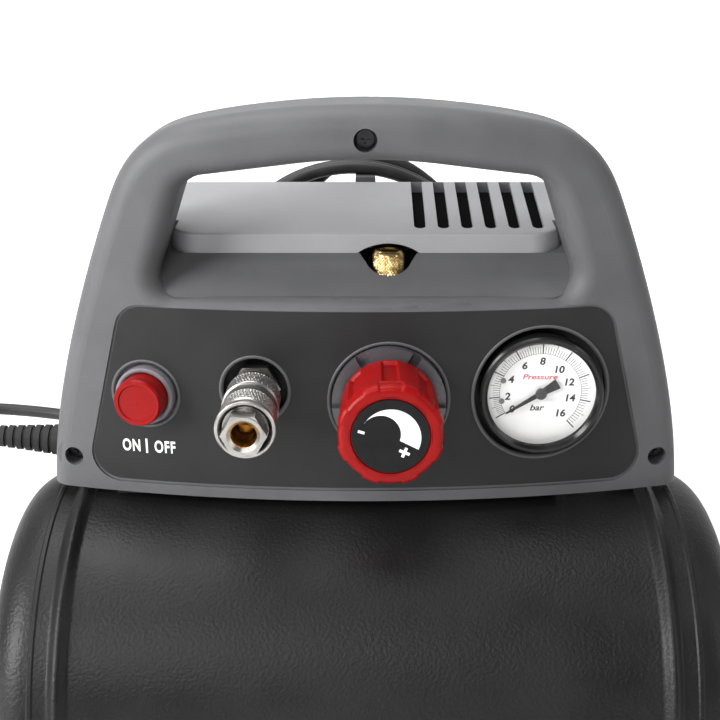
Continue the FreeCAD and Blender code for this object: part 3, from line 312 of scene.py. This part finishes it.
def fine_profile(profile, step):
    """The same outline with points no further apart than step."""
    points = []
    for (r0, d0), (r1, d1) in zip(profile, profile[1:]):
        count = max(1, math.ceil(math.hypot(r1 - r0, d1 - d0) / step))
        points += [(r0 + (r1 - r0) * n / count, d0 + (d1 - d0) * n / count)
                   for n in range(count)]
    return points + [profile[-1]]


def turned(name, profile, at, direction, segments=96, ripple=None, step=None):
    """A turned shape: profile is (radius, distance) in mm, closed by its own axis or by
    its first point. ripple(angle, radius, distance) is added to the radius."""
    on_axis = profile[0][0] == 0 and profile[-1][0] == 0
    outline = list(profile) if on_axis else list(profile) + [profile[0]]
    outline = fine_profile(outline, step) if step else outline
    to_place = frame_at(at, direction)
    points, faces = [], []
    for turn in range(segments):
        angle = math.tau * turn / segments
        for radius, distance in outline:
            wide = radius + (ripple(angle, radius, distance) if ripple and radius else 0)
            local = Vector((wide * math.cos(angle), wide * math.sin(angle), distance)) * MM
            points.append(to_place @ local)
    rows = len(outline)
    for turn in range(segments):
        here, there = turn * rows, (turn + 1) % segments * rows
        for n in range(rows - 1):
            faces.append((here + n, here + n + 1, there + n + 1, there + n))
    return solid_mesh(name, points, faces)


def plate(name, outlines, to_place, thickness):
    """Flat shapes, each a list of (x, y) in mm, raised by thickness along local +Z."""
    points, faces = [], []
    for outline in outlines:
        start, count = len(points), len(outline)
        for level in (0, thickness):
            points += [to_place @ (Vector((x, y, level)) * MM) for x, y in outline]
        faces.append(tuple(range(start, start + count)))
        faces.append(tuple(range(start + count, start + 2 * count)))
        for n in range(count):
            m = (n + 1) % count
            faces.append((start + n, start + m, start + count + m, start + count + n))
    return solid_mesh(name, points, faces, 20)


def bar(x, y, length, width, angle):
    """The outline of a small bar, turned by angle degrees about its middle."""
    along = Vector((math.cos(math.radians(angle)), math.sin(math.radians(angle))))
    across = Vector((-along.y, along.x))
    corners = ((1, 1), (-1, 1), (-1, -1), (1, -1))
    return [tuple(Vector((x, y)) + along * length / 2 * a + across * width / 2 * b)
            for a, b in corners]


def arc(x, y, radius, start, end, count=24):
    """Points along an arc between two angles in degrees."""
    turns = [math.radians(start + (end - start) * n / count) for n in range(count + 1)]
    return [(x + radius * math.cos(t), y + radius * math.sin(t)) for t in turns]


def mesh_of(curve):
    """The filled mesh of a flat curve or a text."""
    holder = bpy.data.objects.new(curve.name, curve)
    bpy.context.scene.collection.objects.link(holder)
    shown = holder.evaluated_get(bpy.context.evaluated_depsgraph_get())
    mesh = bpy.data.meshes.new_from_object(shown)
    bpy.data.objects.remove(holder)
    return mesh


CAPITAL_SHARE = 0.7
LETTER_RISE = 0.05


def lettering(name, text, height, to_place, slant=0.0, weight=0.0, narrow=1.0, apart=1.0):
    """Raised lettering, its middle at to_place's origin, height mm to the top of a capital."""
    curve = bpy.data.curves.new(name, "FONT")
    curve.body = text
    curve.size = height / CAPITAL_SHARE
    curve.align_x = "CENTER"
    curve.shear = slant
    curve.offset = weight
    curve.space_character = apart
    curve.extrude = LETTER_RISE
    curve.resolution_u = 4
    mesh = mesh_of(curve)
    squeeze = Matrix.Diagonal((narrow, 1, 1, 1))
    mesh.transform(to_place @ Matrix.Scale(MM, 4) @ squeeze
                   @ Matrix.Translation((0, -height / 2, 0)))
    return mesh


def joined(name, meshes):
    """Several meshes as one."""
    shape = bmesh.new()
    for mesh in meshes:
        shape.from_mesh(mesh)
        bpy.data.meshes.remove(mesh)
    whole = bpy.data.meshes.new(name)
    shape.to_mesh(whole)
    shape.free()
    return whole


# ---------------------------------------------------------------------- the mains lead

LEAD_DIAMETER = 6.2
LEAD_EXIT = (-174, 20.5, 221.5)
LEAD_ROUTE = [
    LEAD_EXIT, (-203, 20.5, 223.5), (-224, 41, 220), (-226, 71, 214), (-204, 90, 209),
    (-174, 91, 206.5), (-138, 81, 205.3), (-98, 72, 205), (-50, 68.6, 204.9),
]
TAIL_ROUTE = [
    (16, 83.9, 342), (-12, 84.2, 343), (-33, 84.4, 322), (-38, 84.6, 306), (-38, 84.6, 290),
]
COIL_RADIUS = 68
COIL_MIDDLE = (-6, 273)
COIL_TURNS = 2.381          # from its lowest point to the upper right of the hook
COIL_POINTS = 16
COIL_FRONT = 68.2
COIL_DEPTH = 15.4


def coil_points():
    """The turns that hang on the hook, one behind the other."""
    count = round(COIL_POINTS * COIL_TURNS)
    points = []
    for n in range(count + 1):
        done = n / count
        angle = -math.pi / 2 + math.tau * COIL_TURNS * done
        points.append((COIL_MIDDLE[0] + COIL_RADIUS * math.cos(angle),
                       COIL_FRONT + COIL_DEPTH * done,
                       COIL_MIDDLE[1] + COIL_RADIUS * math.sin(angle)))
    return points


def make_lead():
    """One smooth cord: out of the housing, round its side, the coil, then down to the plug."""
    route = LEAD_ROUTE + coil_points() + TAIL_ROUTE
    curve = bpy.data.curves.new("mains_lead", "CURVE")
    curve.dimensions = "3D"
    curve.bevel_depth = LEAD_DIAMETER / 2 * MM
    curve.bevel_resolution = 5
    curve.resolution_u = 6
    spline = curve.splines.new("NURBS")
    spline.points.add(len(route) - 1)
    for point, at in zip(spline.points, route):
        point.co = (*(Vector(at) * MM), 1)
    spline.order_u = 3
    spline.use_endpoint_u = True
    curve.materials.append(FINISHES["cord_rubber"])
    lead = bpy.data.objects.new("mains_lead", curve)
    bpy.context.scene.collection.objects.link(lead)
    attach(lead, "frame")
    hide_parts("cord_lead", "cord_coil", "cord_tail")
    return lead


def make_strain_relief():
    """Segmented rubber boot that tapers along the lead."""
    root = Vector((-135.5, 20.5, 218.8))
    heading = Vector(LEAD_EXIT) - root
    reach = heading.length
    outline = [(3.2, 0), (9, 0), (9, 2.4), (7.2, 2.4), (7.2, 9)]
    segments = 7
    pitch = (reach - 9) / segments
    for n in range(segments):
        wide = 7.2 - 2.5 * n / segments
        near = 9 + pitch * n
        outline += [(wide, near), (wide, near + pitch * 0.6), (wide - 1.3, near + pitch * 0.66),
                    (wide - 1.3, near + pitch * 0.94)]
    outline += [(4.2, reach), (3.2, reach)]
    mesh = turned("relief_boot", outline, root, heading, 48)
    boot = show("relief_boot", mesh, FINISHES["black_rubber"], "frame")
    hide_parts("strain_relief")


def make_plug():
    """Round moulded plug with finger grips and a ribbed neck."""
    top = TAIL_ROUTE[-1]
    neck = []
    for n in range(4):
        wide = 4.6 + 0.35 * n
        neck += [(wide + 0.5, 3.4 * n), (wide + 0.5, 3.4 * n + 2), (wide - 0.3, 3.4 * n + 2.3),
                 (wide - 0.3, 3.4 * n + 3.2)]
    outline = [(3.2, 0)] + neck + [(6.6, 14), (9.5, 15.6), (13, 18.2), (16.4, 22), (18.2, 26),
                                   (18.5, 29), (18.5, 42), (18, 43.4), (17.2, 44), (3.2, 44)]

    def grips(angle, radius, distance):
        """Scallops for the fingers round the widest part."""
        if not 20 < distance < 38 or radius < 10:
            return 0
        return -0.7 * max(0, math.cos(angle * 12)) * math.sin(math.pi * (distance - 20) / 18)

    mesh = turned("mains_plug", outline, top, (0, 0, -1), 96, grips, 1.2)
    plug = show("mains_plug", mesh, FINISHES["black_rubber"], "frame")
    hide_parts("plug_body")
    return plug


lead = make_lead()
make_strain_relief()
plug = make_plug()


# ------------------------------------------------------------------------- the controls

FRONT = (0, -1, 0)


def middle(node):
    """The middle of a CAD node in mm."""
    low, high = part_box(node)
    return (low + high) / 2 / MM


def front_of(node):
    """How far forward a CAD node reaches, as a y in mm."""
    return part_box(node)[0].y / MM


def soft_step(value, low, high):
    """0 below low, 1 above high and smooth between."""
    t = min(1, max(0, (value - low) / (high - low)))
    return t * t * (3 - 2 * t)


def diamond(count, depth, lead_mm, low, high):
    """A ripple for diamond knurling between two distances."""
    def ripple(angle, radius, distance):
        if not low <= distance <= high or radius < 6:
            return 0
        twist = distance / lead_mm
        one = abs(math.sin(count / 2 * (angle + twist)))
        other = abs(math.sin(count / 2 * (angle - twist)))
        return -depth * (1 - min(one, other))
    return ripple


def make_knob():
    """Pressure knob: closed flutes round its side and a lobed lip around the label."""
    centre = middle("regulator_knob")
    face = front_of("regulator_knob")
    reach = 35
    low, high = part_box("regulator_knob")
    rim = (high.x - low.x) / 2 / MM
    outline = [(13.4, 0), (rim - 2, 0), (rim - 1.4, 0.3), (rim - 1.2, 1), (rim - 0.9, 24),
               (rim - 0.3, 28.5), (rim, 30.5), (rim, 32.6), (rim - 0.5, 34), (rim - 1.6, 34.8),
               (rim - 2.8, reach), (16.2, reach), (15.8, 34.2), (13.4, 34.2)]
    flutes = 8
    flute_depth, lip_dip = 1.7, 0.75
    step = math.tau / flutes

    def fluted(angle, radius, distance):
        """Flat-floored flutes with closed ends, and shallower dips across the lip."""
        if radius < 17:
            return 0
        off = abs((angle + step / 2) % step - step / 2)
        across = 1 - soft_step(off, 0.135, 0.175)
        along = soft_step(distance, 1.8, 3.2) * (1 - soft_step(distance, 26.5, 28.5))
        lip = soft_step(distance, 27.5, 30) * (1 - soft_step(off, 0.2, 0.26))
        return -flute_depth * across * along - lip_dip * lip

    mesh = turned("pressure_knob", outline, (centre.x, face + reach, centre.z), FRONT, 384,
                  fluted, 0.6)
    knob = show("pressure_knob", mesh, FINISHES["red_plastic"], "knob")
    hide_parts("regulator_knob")


def make_knob_label():
    """White swelling crescent that runs from minus to plus on the black disc."""
    centre = middle("knob_label")
    face = front_of("knob_label")
    on_face = frame_at((centre.x, face + 0.02, centre.z), FRONT)
    outer = arc(0, -0.5, 12.1, 150, -24, 48)
    inner = arc(-4, 1, 8.05, -19, 144, 40)
    thick = 0.08
    crescent = plate("label_crescent", [outer + inner], on_face, thick)
    show("label_crescent", crescent, WHITE_INK, "knob")
    minus = plate("label_minus", [bar(-11.7, 2, 2.7, 1.1, -18)], on_face, thick)
    show("label_minus", minus, WHITE_INK, "knob")
    long_arm = bar(5.5, -6.7, 4.4, 1.2, -23)
    stub = [bar(5.5 + side * 1.35 * math.cos(math.radians(67)),
                -6.7 + side * 1.35 * math.sin(math.radians(67)), 1.6, 1.2, 67)
            for side in (-1, 1)]
    plus = plate("label_plus", [long_arm] + stub, on_face, thick)
    show("label_plus", plus, WHITE_INK, "knob")


def make_coupler_sleeve():
    """Nickel sleeve: two knurled bands, a smooth ring between them and a flared lip."""
    low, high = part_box("coupler_sleeve")
    centre = middle("coupler_sleeve")
    rim = (high.x - low.x) / 2 / MM
    r = rim - 0.4
    outline = [(9.5, 0), (r - 0.8, 0), (r - 0.2, 0.7), (r - 0.2, 11.6), (r - 0.5, 12),
               (r - 0.5, 12.5), (r, 12.9), (r + 0.1, 13.3), (r - 0.5, 13.8), (r - 0.7, 19.6),
               (r - 0.7, 20.2), (r - 0.2, 20.8), (r - 0.2, 30.6), (r - 0.7, 31.4),
               (r - 0.8, 32.4), (r, 34.6), (rim, 36), (rim - 0.1, 36.6), (rim - 0.5, 37),
               (rim - 1.3, 37), (rim - 1.9, 36.2), (9.8, 34), (9.5, 30)]
    knurls = [diamond(56, 0.5, 12, 0.9, 11.4), diamond(56, 0.5, 12, 20.9, 30.4)]

    def knurled(angle, radius, distance):
        return sum(k(angle, radius, distance) for k in knurls) if radius > 10.3 else 0

    at = (centre.x, high.y / MM, centre.z)
    mesh = turned("knurled_sleeve", outline, at, FRONT, 420, knurled, 0.5)
    sleeve = show("knurled_sleeve", mesh, FINISHES["coupler_steel"], "sleeve")
    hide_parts("coupler_sleeve")


def make_coupler_lining():
    """Brass socket inside the coupler's mouth, stepped down to its seal."""
    centre = middle("coupler_body")
    tip = front_of("coupler_body")
    outline = [(5.19, 0), (5.19, 23), (4.6, 23), (4.6, 9), (4.9, 8), (4.9, 0.6)]
    mesh = turned("coupler_lining", outline, (centre.x, tip + 1.6, centre.z), (0, 1, 0), 72)
    show("coupler_lining", mesh, FINISHES["brass"], "frame")


def make_valve_cap():
    """Brass pull cap: chamfered crown, diamond knurl and a plain skirt."""
    low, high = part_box("safety_valve_cap")
    centre = middle("safety_valve_cap")
    r = (high.x - low.x) / 2 / MM
    tall = (high.z - low.z) / MM
    outline = [(0, 12), (4.2, 12), (4.2, 0), (r - 0.9, 0), (r - 0.5, 0.4), (r - 0.5, 12),
               (r - 0.2, 12.4), (r, 12.8), (r, tall - 1.8), (r - 0.3, tall - 1.2),
               (r - 0.8, tall - 0.5), (r - 1.4, tall), (4.1, tall), (3.7, tall - 0.6),
               (0, tall - 0.6)]
    knurl = diamond(30, 0.45, 7, 12.9, tall - 2)
    mesh = turned("knurled_cap", outline, (centre.x, centre.y, low.z / MM), (0, 0, 1), 352,
                  knurl, 0.35)
    cap = show("knurled_cap", mesh, FINISHES["brass"], "relief_cap")
    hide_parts("safety_valve_cap")


PANEL_RADIUS = 550
PANEL_FRONT = -24
PANEL_RECESS = 1
FILM_THICKNESS = 0.3
FILM_HALF_WIDTH = 124


def on_panel(x, z, lift=0.0):
    """A place on the bulged front panel, square to it there."""
    lean = math.asin(x / PANEL_RADIUS)
    outward = Vector((math.sin(lean), -math.cos(lean), 0))
    at = Vector((x, PANEL_FRONT + PANEL_RADIUS * (1 - math.cos(lean)), z)) + outward * lift
    across = Vector((math.cos(lean), math.sin(lean), 0))
    turn = Matrix((across, Vector((0, 0, 1)), outward)).transposed().to_4x4()
    return Matrix.Translation(at * MM) @ turn


def make_switch_words():
    """ON and OFF under the push button, with a bar between them."""
    height = 231.5
    words = [("ON", -103.3), ("I", -96.4), ("OFF", -88.2)]
    for text, x in words:
        name = "word_bar" if text == "I" else f"word_{text.lower()}"
        spot = on_panel(x, height, FILM_THICKNESS)
        if text == "I":
            mesh = plate(name, [bar(0, 0, 0.9, 6.8, 0)], spot, 0.06)
        else:
            mesh = lettering(name, text, 5.4, spot, 0, 0.2, 0.66, 1.14)
        show(name, mesh, WHITE_INK, "frame")


def control_rings():
    """Name, place and clear radius of each control on the panel."""
    places = {}
    for name, node, radius in (("button", "button_cap", 15), ("coupler", "coupler_sleeve", 15),
                               ("regulator", "regulator_collar", 25.8),
                               ("gauge", "gauge_bezel", 30)):
        at = middle(node)
        places[name] = (at.x, at.z, radius)
    return places


def rounded(corners, count=10):
    """A closed outline whose corners, each (x, y, radius), are rounded by arcs."""
    points = []
    for n, (x, y, radius) in enumerate(corners):
        here = Vector((x, y))
        before = (Vector(corners[n - 1][:2]) - here).normalized()
        after = (Vector(corners[(n + 1) % len(corners)][:2]) - here).normalized()
        half = before.angle(after) / 2
        centre = here + (before + after).normalized() * radius / math.sin(half)
        reach = radius / math.tan(half)
        start, end = here + before * reach - centre, here + after * reach - centre
        turn = start.angle_signed(end)
        for k in range(count + 1):
            a = -turn * k / count
            points.append((centre.x + start.x * math.cos(a) - start.y * math.sin(a),
                           centre.y + start.x * math.sin(a) + start.y * math.cos(a)))
    return points


def flat_sheet(name, outlines):
    """Triangles that fill the first outline less the others."""
    curve = bpy.data.curves.new(name, "CURVE")
    curve.dimensions = "2D"
    curve.fill_mode = "BOTH"
    for outline in outlines:
        spline = curve.splines.new("POLY")
        spline.points.add(len(outline) - 1)
        for point, (x, y) in zip(spline.points, outline):
            point.co = (x, y, 0, 1)
        spline.use_cyclic_u = True
    return mesh_of(curve)


def make_panel_film():
    """Dark printed film laid in the panel's recess, with a groove left round it."""
    edge = [(-124.2, 215, 12), (124.2, 215, 12), (104, 295.2, 11), (-104, 295.2, 11)]
    holes = [arc(x, z, radius, 0, 360 - 5, 71) for x, z, radius in control_rings().values()]
    mesh = flat_sheet("panel_film", [rounded(edge)] + holes)
    shape = bmesh.new()
    shape.from_mesh(mesh)
    strips = 56
    for n in range(1, strips):
        x = FILM_HALF_WIDTH * (2 * n / strips - 1)
        bmesh.ops.bisect_plane(shape, geom=shape.verts[:] + shape.edges[:] + shape.faces[:],
                               plane_co=(x, 0, 0), plane_no=(1, 0, 0))
    reach = PANEL_RADIUS - PANEL_RECESS + FILM_THICKNESS
    for vertex in shape.verts:
        x, z = vertex.co.x, vertex.co.y
        y = PANEL_RADIUS + PANEL_FRONT - PANEL_RECESS - math.sqrt(reach ** 2 - x ** 2)
        vertex.co = Vector((x, y, z)) * MM
    bmesh.ops.recalc_face_normals(shape, faces=shape.faces)
    if sum(face.normal.y for face in shape.faces) > 0:
        bmesh.ops.reverse_faces(shape, faces=shape.faces)
    shape.to_mesh(mesh)
    shape.free()
    mesh.shade_flat()
    piece = show("panel_film", mesh, PANEL_FILM, "frame")
    thick = piece.modifiers.new("thickness", "SOLIDIFY")
    thick.thickness = FILM_THICKNESS * MM
    thick.offset = -1


def make_trim_rings():
    """Rounded moulded lip round each hole in the panel."""
    for name, (x, z, radius) in control_rings().items():
        lip = [(radius - 1, -1.4), (radius + 0.5, -1.4), (radius + 0.6, 0.35),
               (radius + 0.2, 0.6), (radius - 0.4, 0.5), (radius - 1, -0.3)]
        lean = math.asin(x / PANEL_RADIUS)
        outward = Vector((math.sin(lean), -math.cos(lean), 0))
        at = on_panel(x, z).translation / MM
        ring = turned(f"trim_{name}", lip, at, outward, 96)
        show(f"trim_{name}", ring, FINISHES["housing_plastic"], "frame")


make_panel_film()
make_trim_rings()
make_knob()
make_knob_label()
make_coupler_sleeve()
make_coupler_lining()
make_valve_cap()
make_switch_words()


# ---------------------------------------------------------------------- the gauge's face

TICK_RING = 17.7
BAR_MARKS = {0: 212, 2: 187, 4: 155, 6: 121, 8: 89, 10: 55, 12: 22, 14: -11, 16: -47}


def mark_angle(pressure):
    """Where a pressure stands on the dial, in degrees, between its printed numbers."""
    low = min(14, int(pressure // 2) * 2)
    share = (pressure - low) / 2
    return BAR_MARKS[low] * (1 - share) + BAR_MARKS[low + 2] * share


def make_dial_print():
    """Ticks, numbers and the two words on the white dial."""
    centre = middle("gauge_dial")
    face = front_of("gauge_dial")

    def on_dial(x=0.0, z=0.0):
        return frame_at((centre.x + x, face + 0.01, centre.z + z), FRONT)

    def tick(pressure, near, far, width):
        turn = mark_angle(pressure)
        mid = (near + far) / 2
        return bar(mid * math.cos(math.radians(turn)), mid * math.sin(math.radians(turn)),
                   far - near, width, turn)

    strong = [tick(p, TICK_RING - 0.1, 22.2, 0.5) for p in BAR_MARKS]
    fine = [tick(n / 5, TICK_RING, 22 if n % 5 == 0 else 20.6, 0.2)
            for n in range(81) if n % 10]
    ring = [arc(0, 0, TICK_RING, BAR_MARKS[16], BAR_MARKS[0], 120)
            + arc(0, 0, TICK_RING - 0.14, BAR_MARKS[0], BAR_MARKS[16], 120)]
    show("dial_marks", plate("dial_marks", strong, on_dial(), 0.05),
         FINISHES["pointer_black"], "frame")
    show("dial_ticks", plate("dial_ticks", fine + ring, on_dial(), 0.05),
         GREY_INK, "frame")
    numbers = []
    for pressure, turn in BAR_MARKS.items():
        reach = 14.3 if pressure < 10 else 12.9
        spot = on_dial(reach * math.cos(math.radians(turn)),
                       reach * math.sin(math.radians(turn)))
        numbers.append(lettering(f"number_{pressure}", str(pressure), 3.1, spot, 0.12, 0.15,
                                 1.06))
    show("dial_numbers", joined("dial_numbers", numbers), GREY_INK, "frame")
    pressure = lettering("dial_word_pressure", "Pressure", 2.3, on_dial(-0.6, 7.2), 0.25, 0.06,
                         1.3)
    show("dial_word_pressure", pressure, RED_INK, "frame")
    bar_word = lettering("dial_word_bar", "bar", 2.7, on_dial(-1.5, -6.9), 0.25, 0.08, 1.15)
    show("dial_word_bar", bar_word, GREY_INK, "frame")
    for name, pressure in (("low", 1.5), ("middle", 3.6)):
        turn = math.radians(mark_angle(pressure))
        at = (centre.x + 17.1 * math.cos(turn), face + 0.02, centre.z + 17.1 * math.sin(turn))
        pin = turned(f"dial_rest_{name}", [(0, 0), (1.2, 0), (1.2, 0.5), (0.7, 0.9), (0, 0.9)],
                     at, FRONT, 24)
        show(f"dial_rest_{name}", pin, FINISHES["grey_plastic"], "frame")


def make_pointer_hub():
    """Turned cap that holds the pointer on its arbor."""
    centre = middle("gauge_dial")
    face = front_of("gauge_pointer")
    outline = [(0, 0), (2.5, 0), (2.5, 0.45), (2.1, 0.8), (1.2, 0.95), (0, 0.95)]
    hub = turned("pointer_hub", outline, (centre.x, face + 0.3, centre.z), FRONT, 48)
    show("pointer_hub", hub, FINISHES["zinc_steel"], "pointer")


make_dial_print()
make_pointer_hub()


# ------------------------------------------------------------------------------ the tank

def make_tank_skin():
    """Painted tank: rolled shell with a round bead near each end and pressed domed ends."""
    low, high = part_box("tank_shell")
    end_low, end_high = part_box("tank_end_right")
    ends = end_high.x / MM
    axis = (low.z + high.z) / 2 / MM
    lip = high.x / MM
    radius = (end_high.z - end_low.z) / 2 / MM
    bead_middle, bead_half, bead_rise = 126.75, 4.9, (high.z - low.z) / 2 / MM - radius
    knuckle, dish = 20, 6
    crown = radius - knuckle
    outline = [(0, ends)] + [(crown * n / 10, ends - dish * (n / 10) ** 2)
                             for n in range(1, 11)]
    outline += [(crown + knuckle * math.sin(math.radians(a)),
                 ends - dish - knuckle * (1 - math.cos(math.radians(a))))
                for a in range(6, 91, 6)]
    seam = [(radius, lip + 1.4), (radius + 0.5, lip + 0.7), (radius + 0.5, lip - 0.7),
            (radius, lip - 1.4)]
    bead = [(radius + bead_rise * (1 + math.cos(math.pi * n / 12)) / 2,
             bead_middle - bead_half * n / 12) for n in range(-12, 13)]
    half = outline + seam + bead
    whole = half + [(r, -x) for r, x in reversed(half)]
    mesh = turned("tank_skin", whole, (0, 0, axis), (1, 0, 0), 256, None, 6)
    skin = show("tank_skin", mesh, FINISHES["tank_paint"], "frame")
    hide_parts("tank_shell", "tank_end_left", "tank_end_right")


make_tank_skin()


# ---------------------------------------------------------------------- floor and lights

def make_stage():
    """Plain pale floor that curves up behind into a backdrop, which glows a little."""
    wide, near, far, tall, bend = 6.0, -3.0, 3.0, 5.0, 1.0
    outline = [(near, 0.0)] + [(far - bend + bend * math.sin(t), bend - bend * math.cos(t))
                               for t in (math.pi / 2 * n / 16 for n in range(17))]
    outline.append((far, tall))
    points = [(x, y, z) for x in (-wide, wide) for y, z in outline]
    count = len(outline)
    faces = [(n, n + 1, count + n + 1, count + n) for n in range(count - 1)]
    mesh = bpy.data.meshes.new("floor")
    mesh.from_pydata(points, [], faces)
    mesh.shade_smooth()
    floor = bpy.data.objects.new("floor", mesh)
    bpy.context.scene.collection.objects.link(floor)
    made = Finish("floor")
    paper = made.noise(3, 2)
    made.colours(paper, (0.86, 0.86, 0.86), (0.88, 0.88, 0.88)).roughness(paper, 0.85, 0.95)
    where = made.node("ShaderNodeSeparateXYZ")
    made.link(made.place(), where.inputs["Vector"])
    glow, glow_start, glow_full = 0.75, 0.3, 1.2
    behind = made.ramp(where.outputs["Y"], 0, glow, glow_start, glow_full)
    made.link(behind, made.shader.inputs["Emission Strength"])
    made.set(Emission_Color=(1, 1, 1, 1))
    mesh.materials.append(made.material)


def area_light(name, at, aim, size, watts, tall=None):
    """A rectangular lamp, size wide and tall high, that faces aim."""
    data = bpy.data.lights.new(name, "AREA")
    data.shape = "RECTANGLE"
    data.size = size
    data.size_y = tall or size
    data.energy = watts
    lamp = bpy.data.objects.new(name, data)
    lamp.location = at
    lamp.rotation_euler = (Vector(aim) - Vector(at)).to_track_quat("-Z", "Y").to_euler()
    bpy.context.scene.collection.objects.link(lamp)


def make_lights():
    """Soft studio light: overhead, side and front panels in a pale room."""
    aim = (0, 0, 0.22)
    area_light("overhead", (-0.3, 0.05, 1.5), aim, 1.0, 17)
    area_light("left_panel", (-1.25, -0.75, 0.8), aim, 0.6, 36, 1.0)
    area_light("right_panel", (1.3, -0.4, 0.7), aim, 0.4, 4, 1.1)
    area_light("front_panel", (-0.35, -1.5, 1.15), aim, 0.7, 9)
    world = bpy.data.worlds.new("room")
    world.use_nodes = True
    room = world.node_tree.nodes["Background"]
    room.inputs["Color"].default_value = (1, 1, 1, 1)
    room.inputs["Strength"].default_value = 0.16
    bpy.context.scene.world = world


make_stage()
make_lights()
bpy.context.scene.view_settings.view_transform = "Standard"
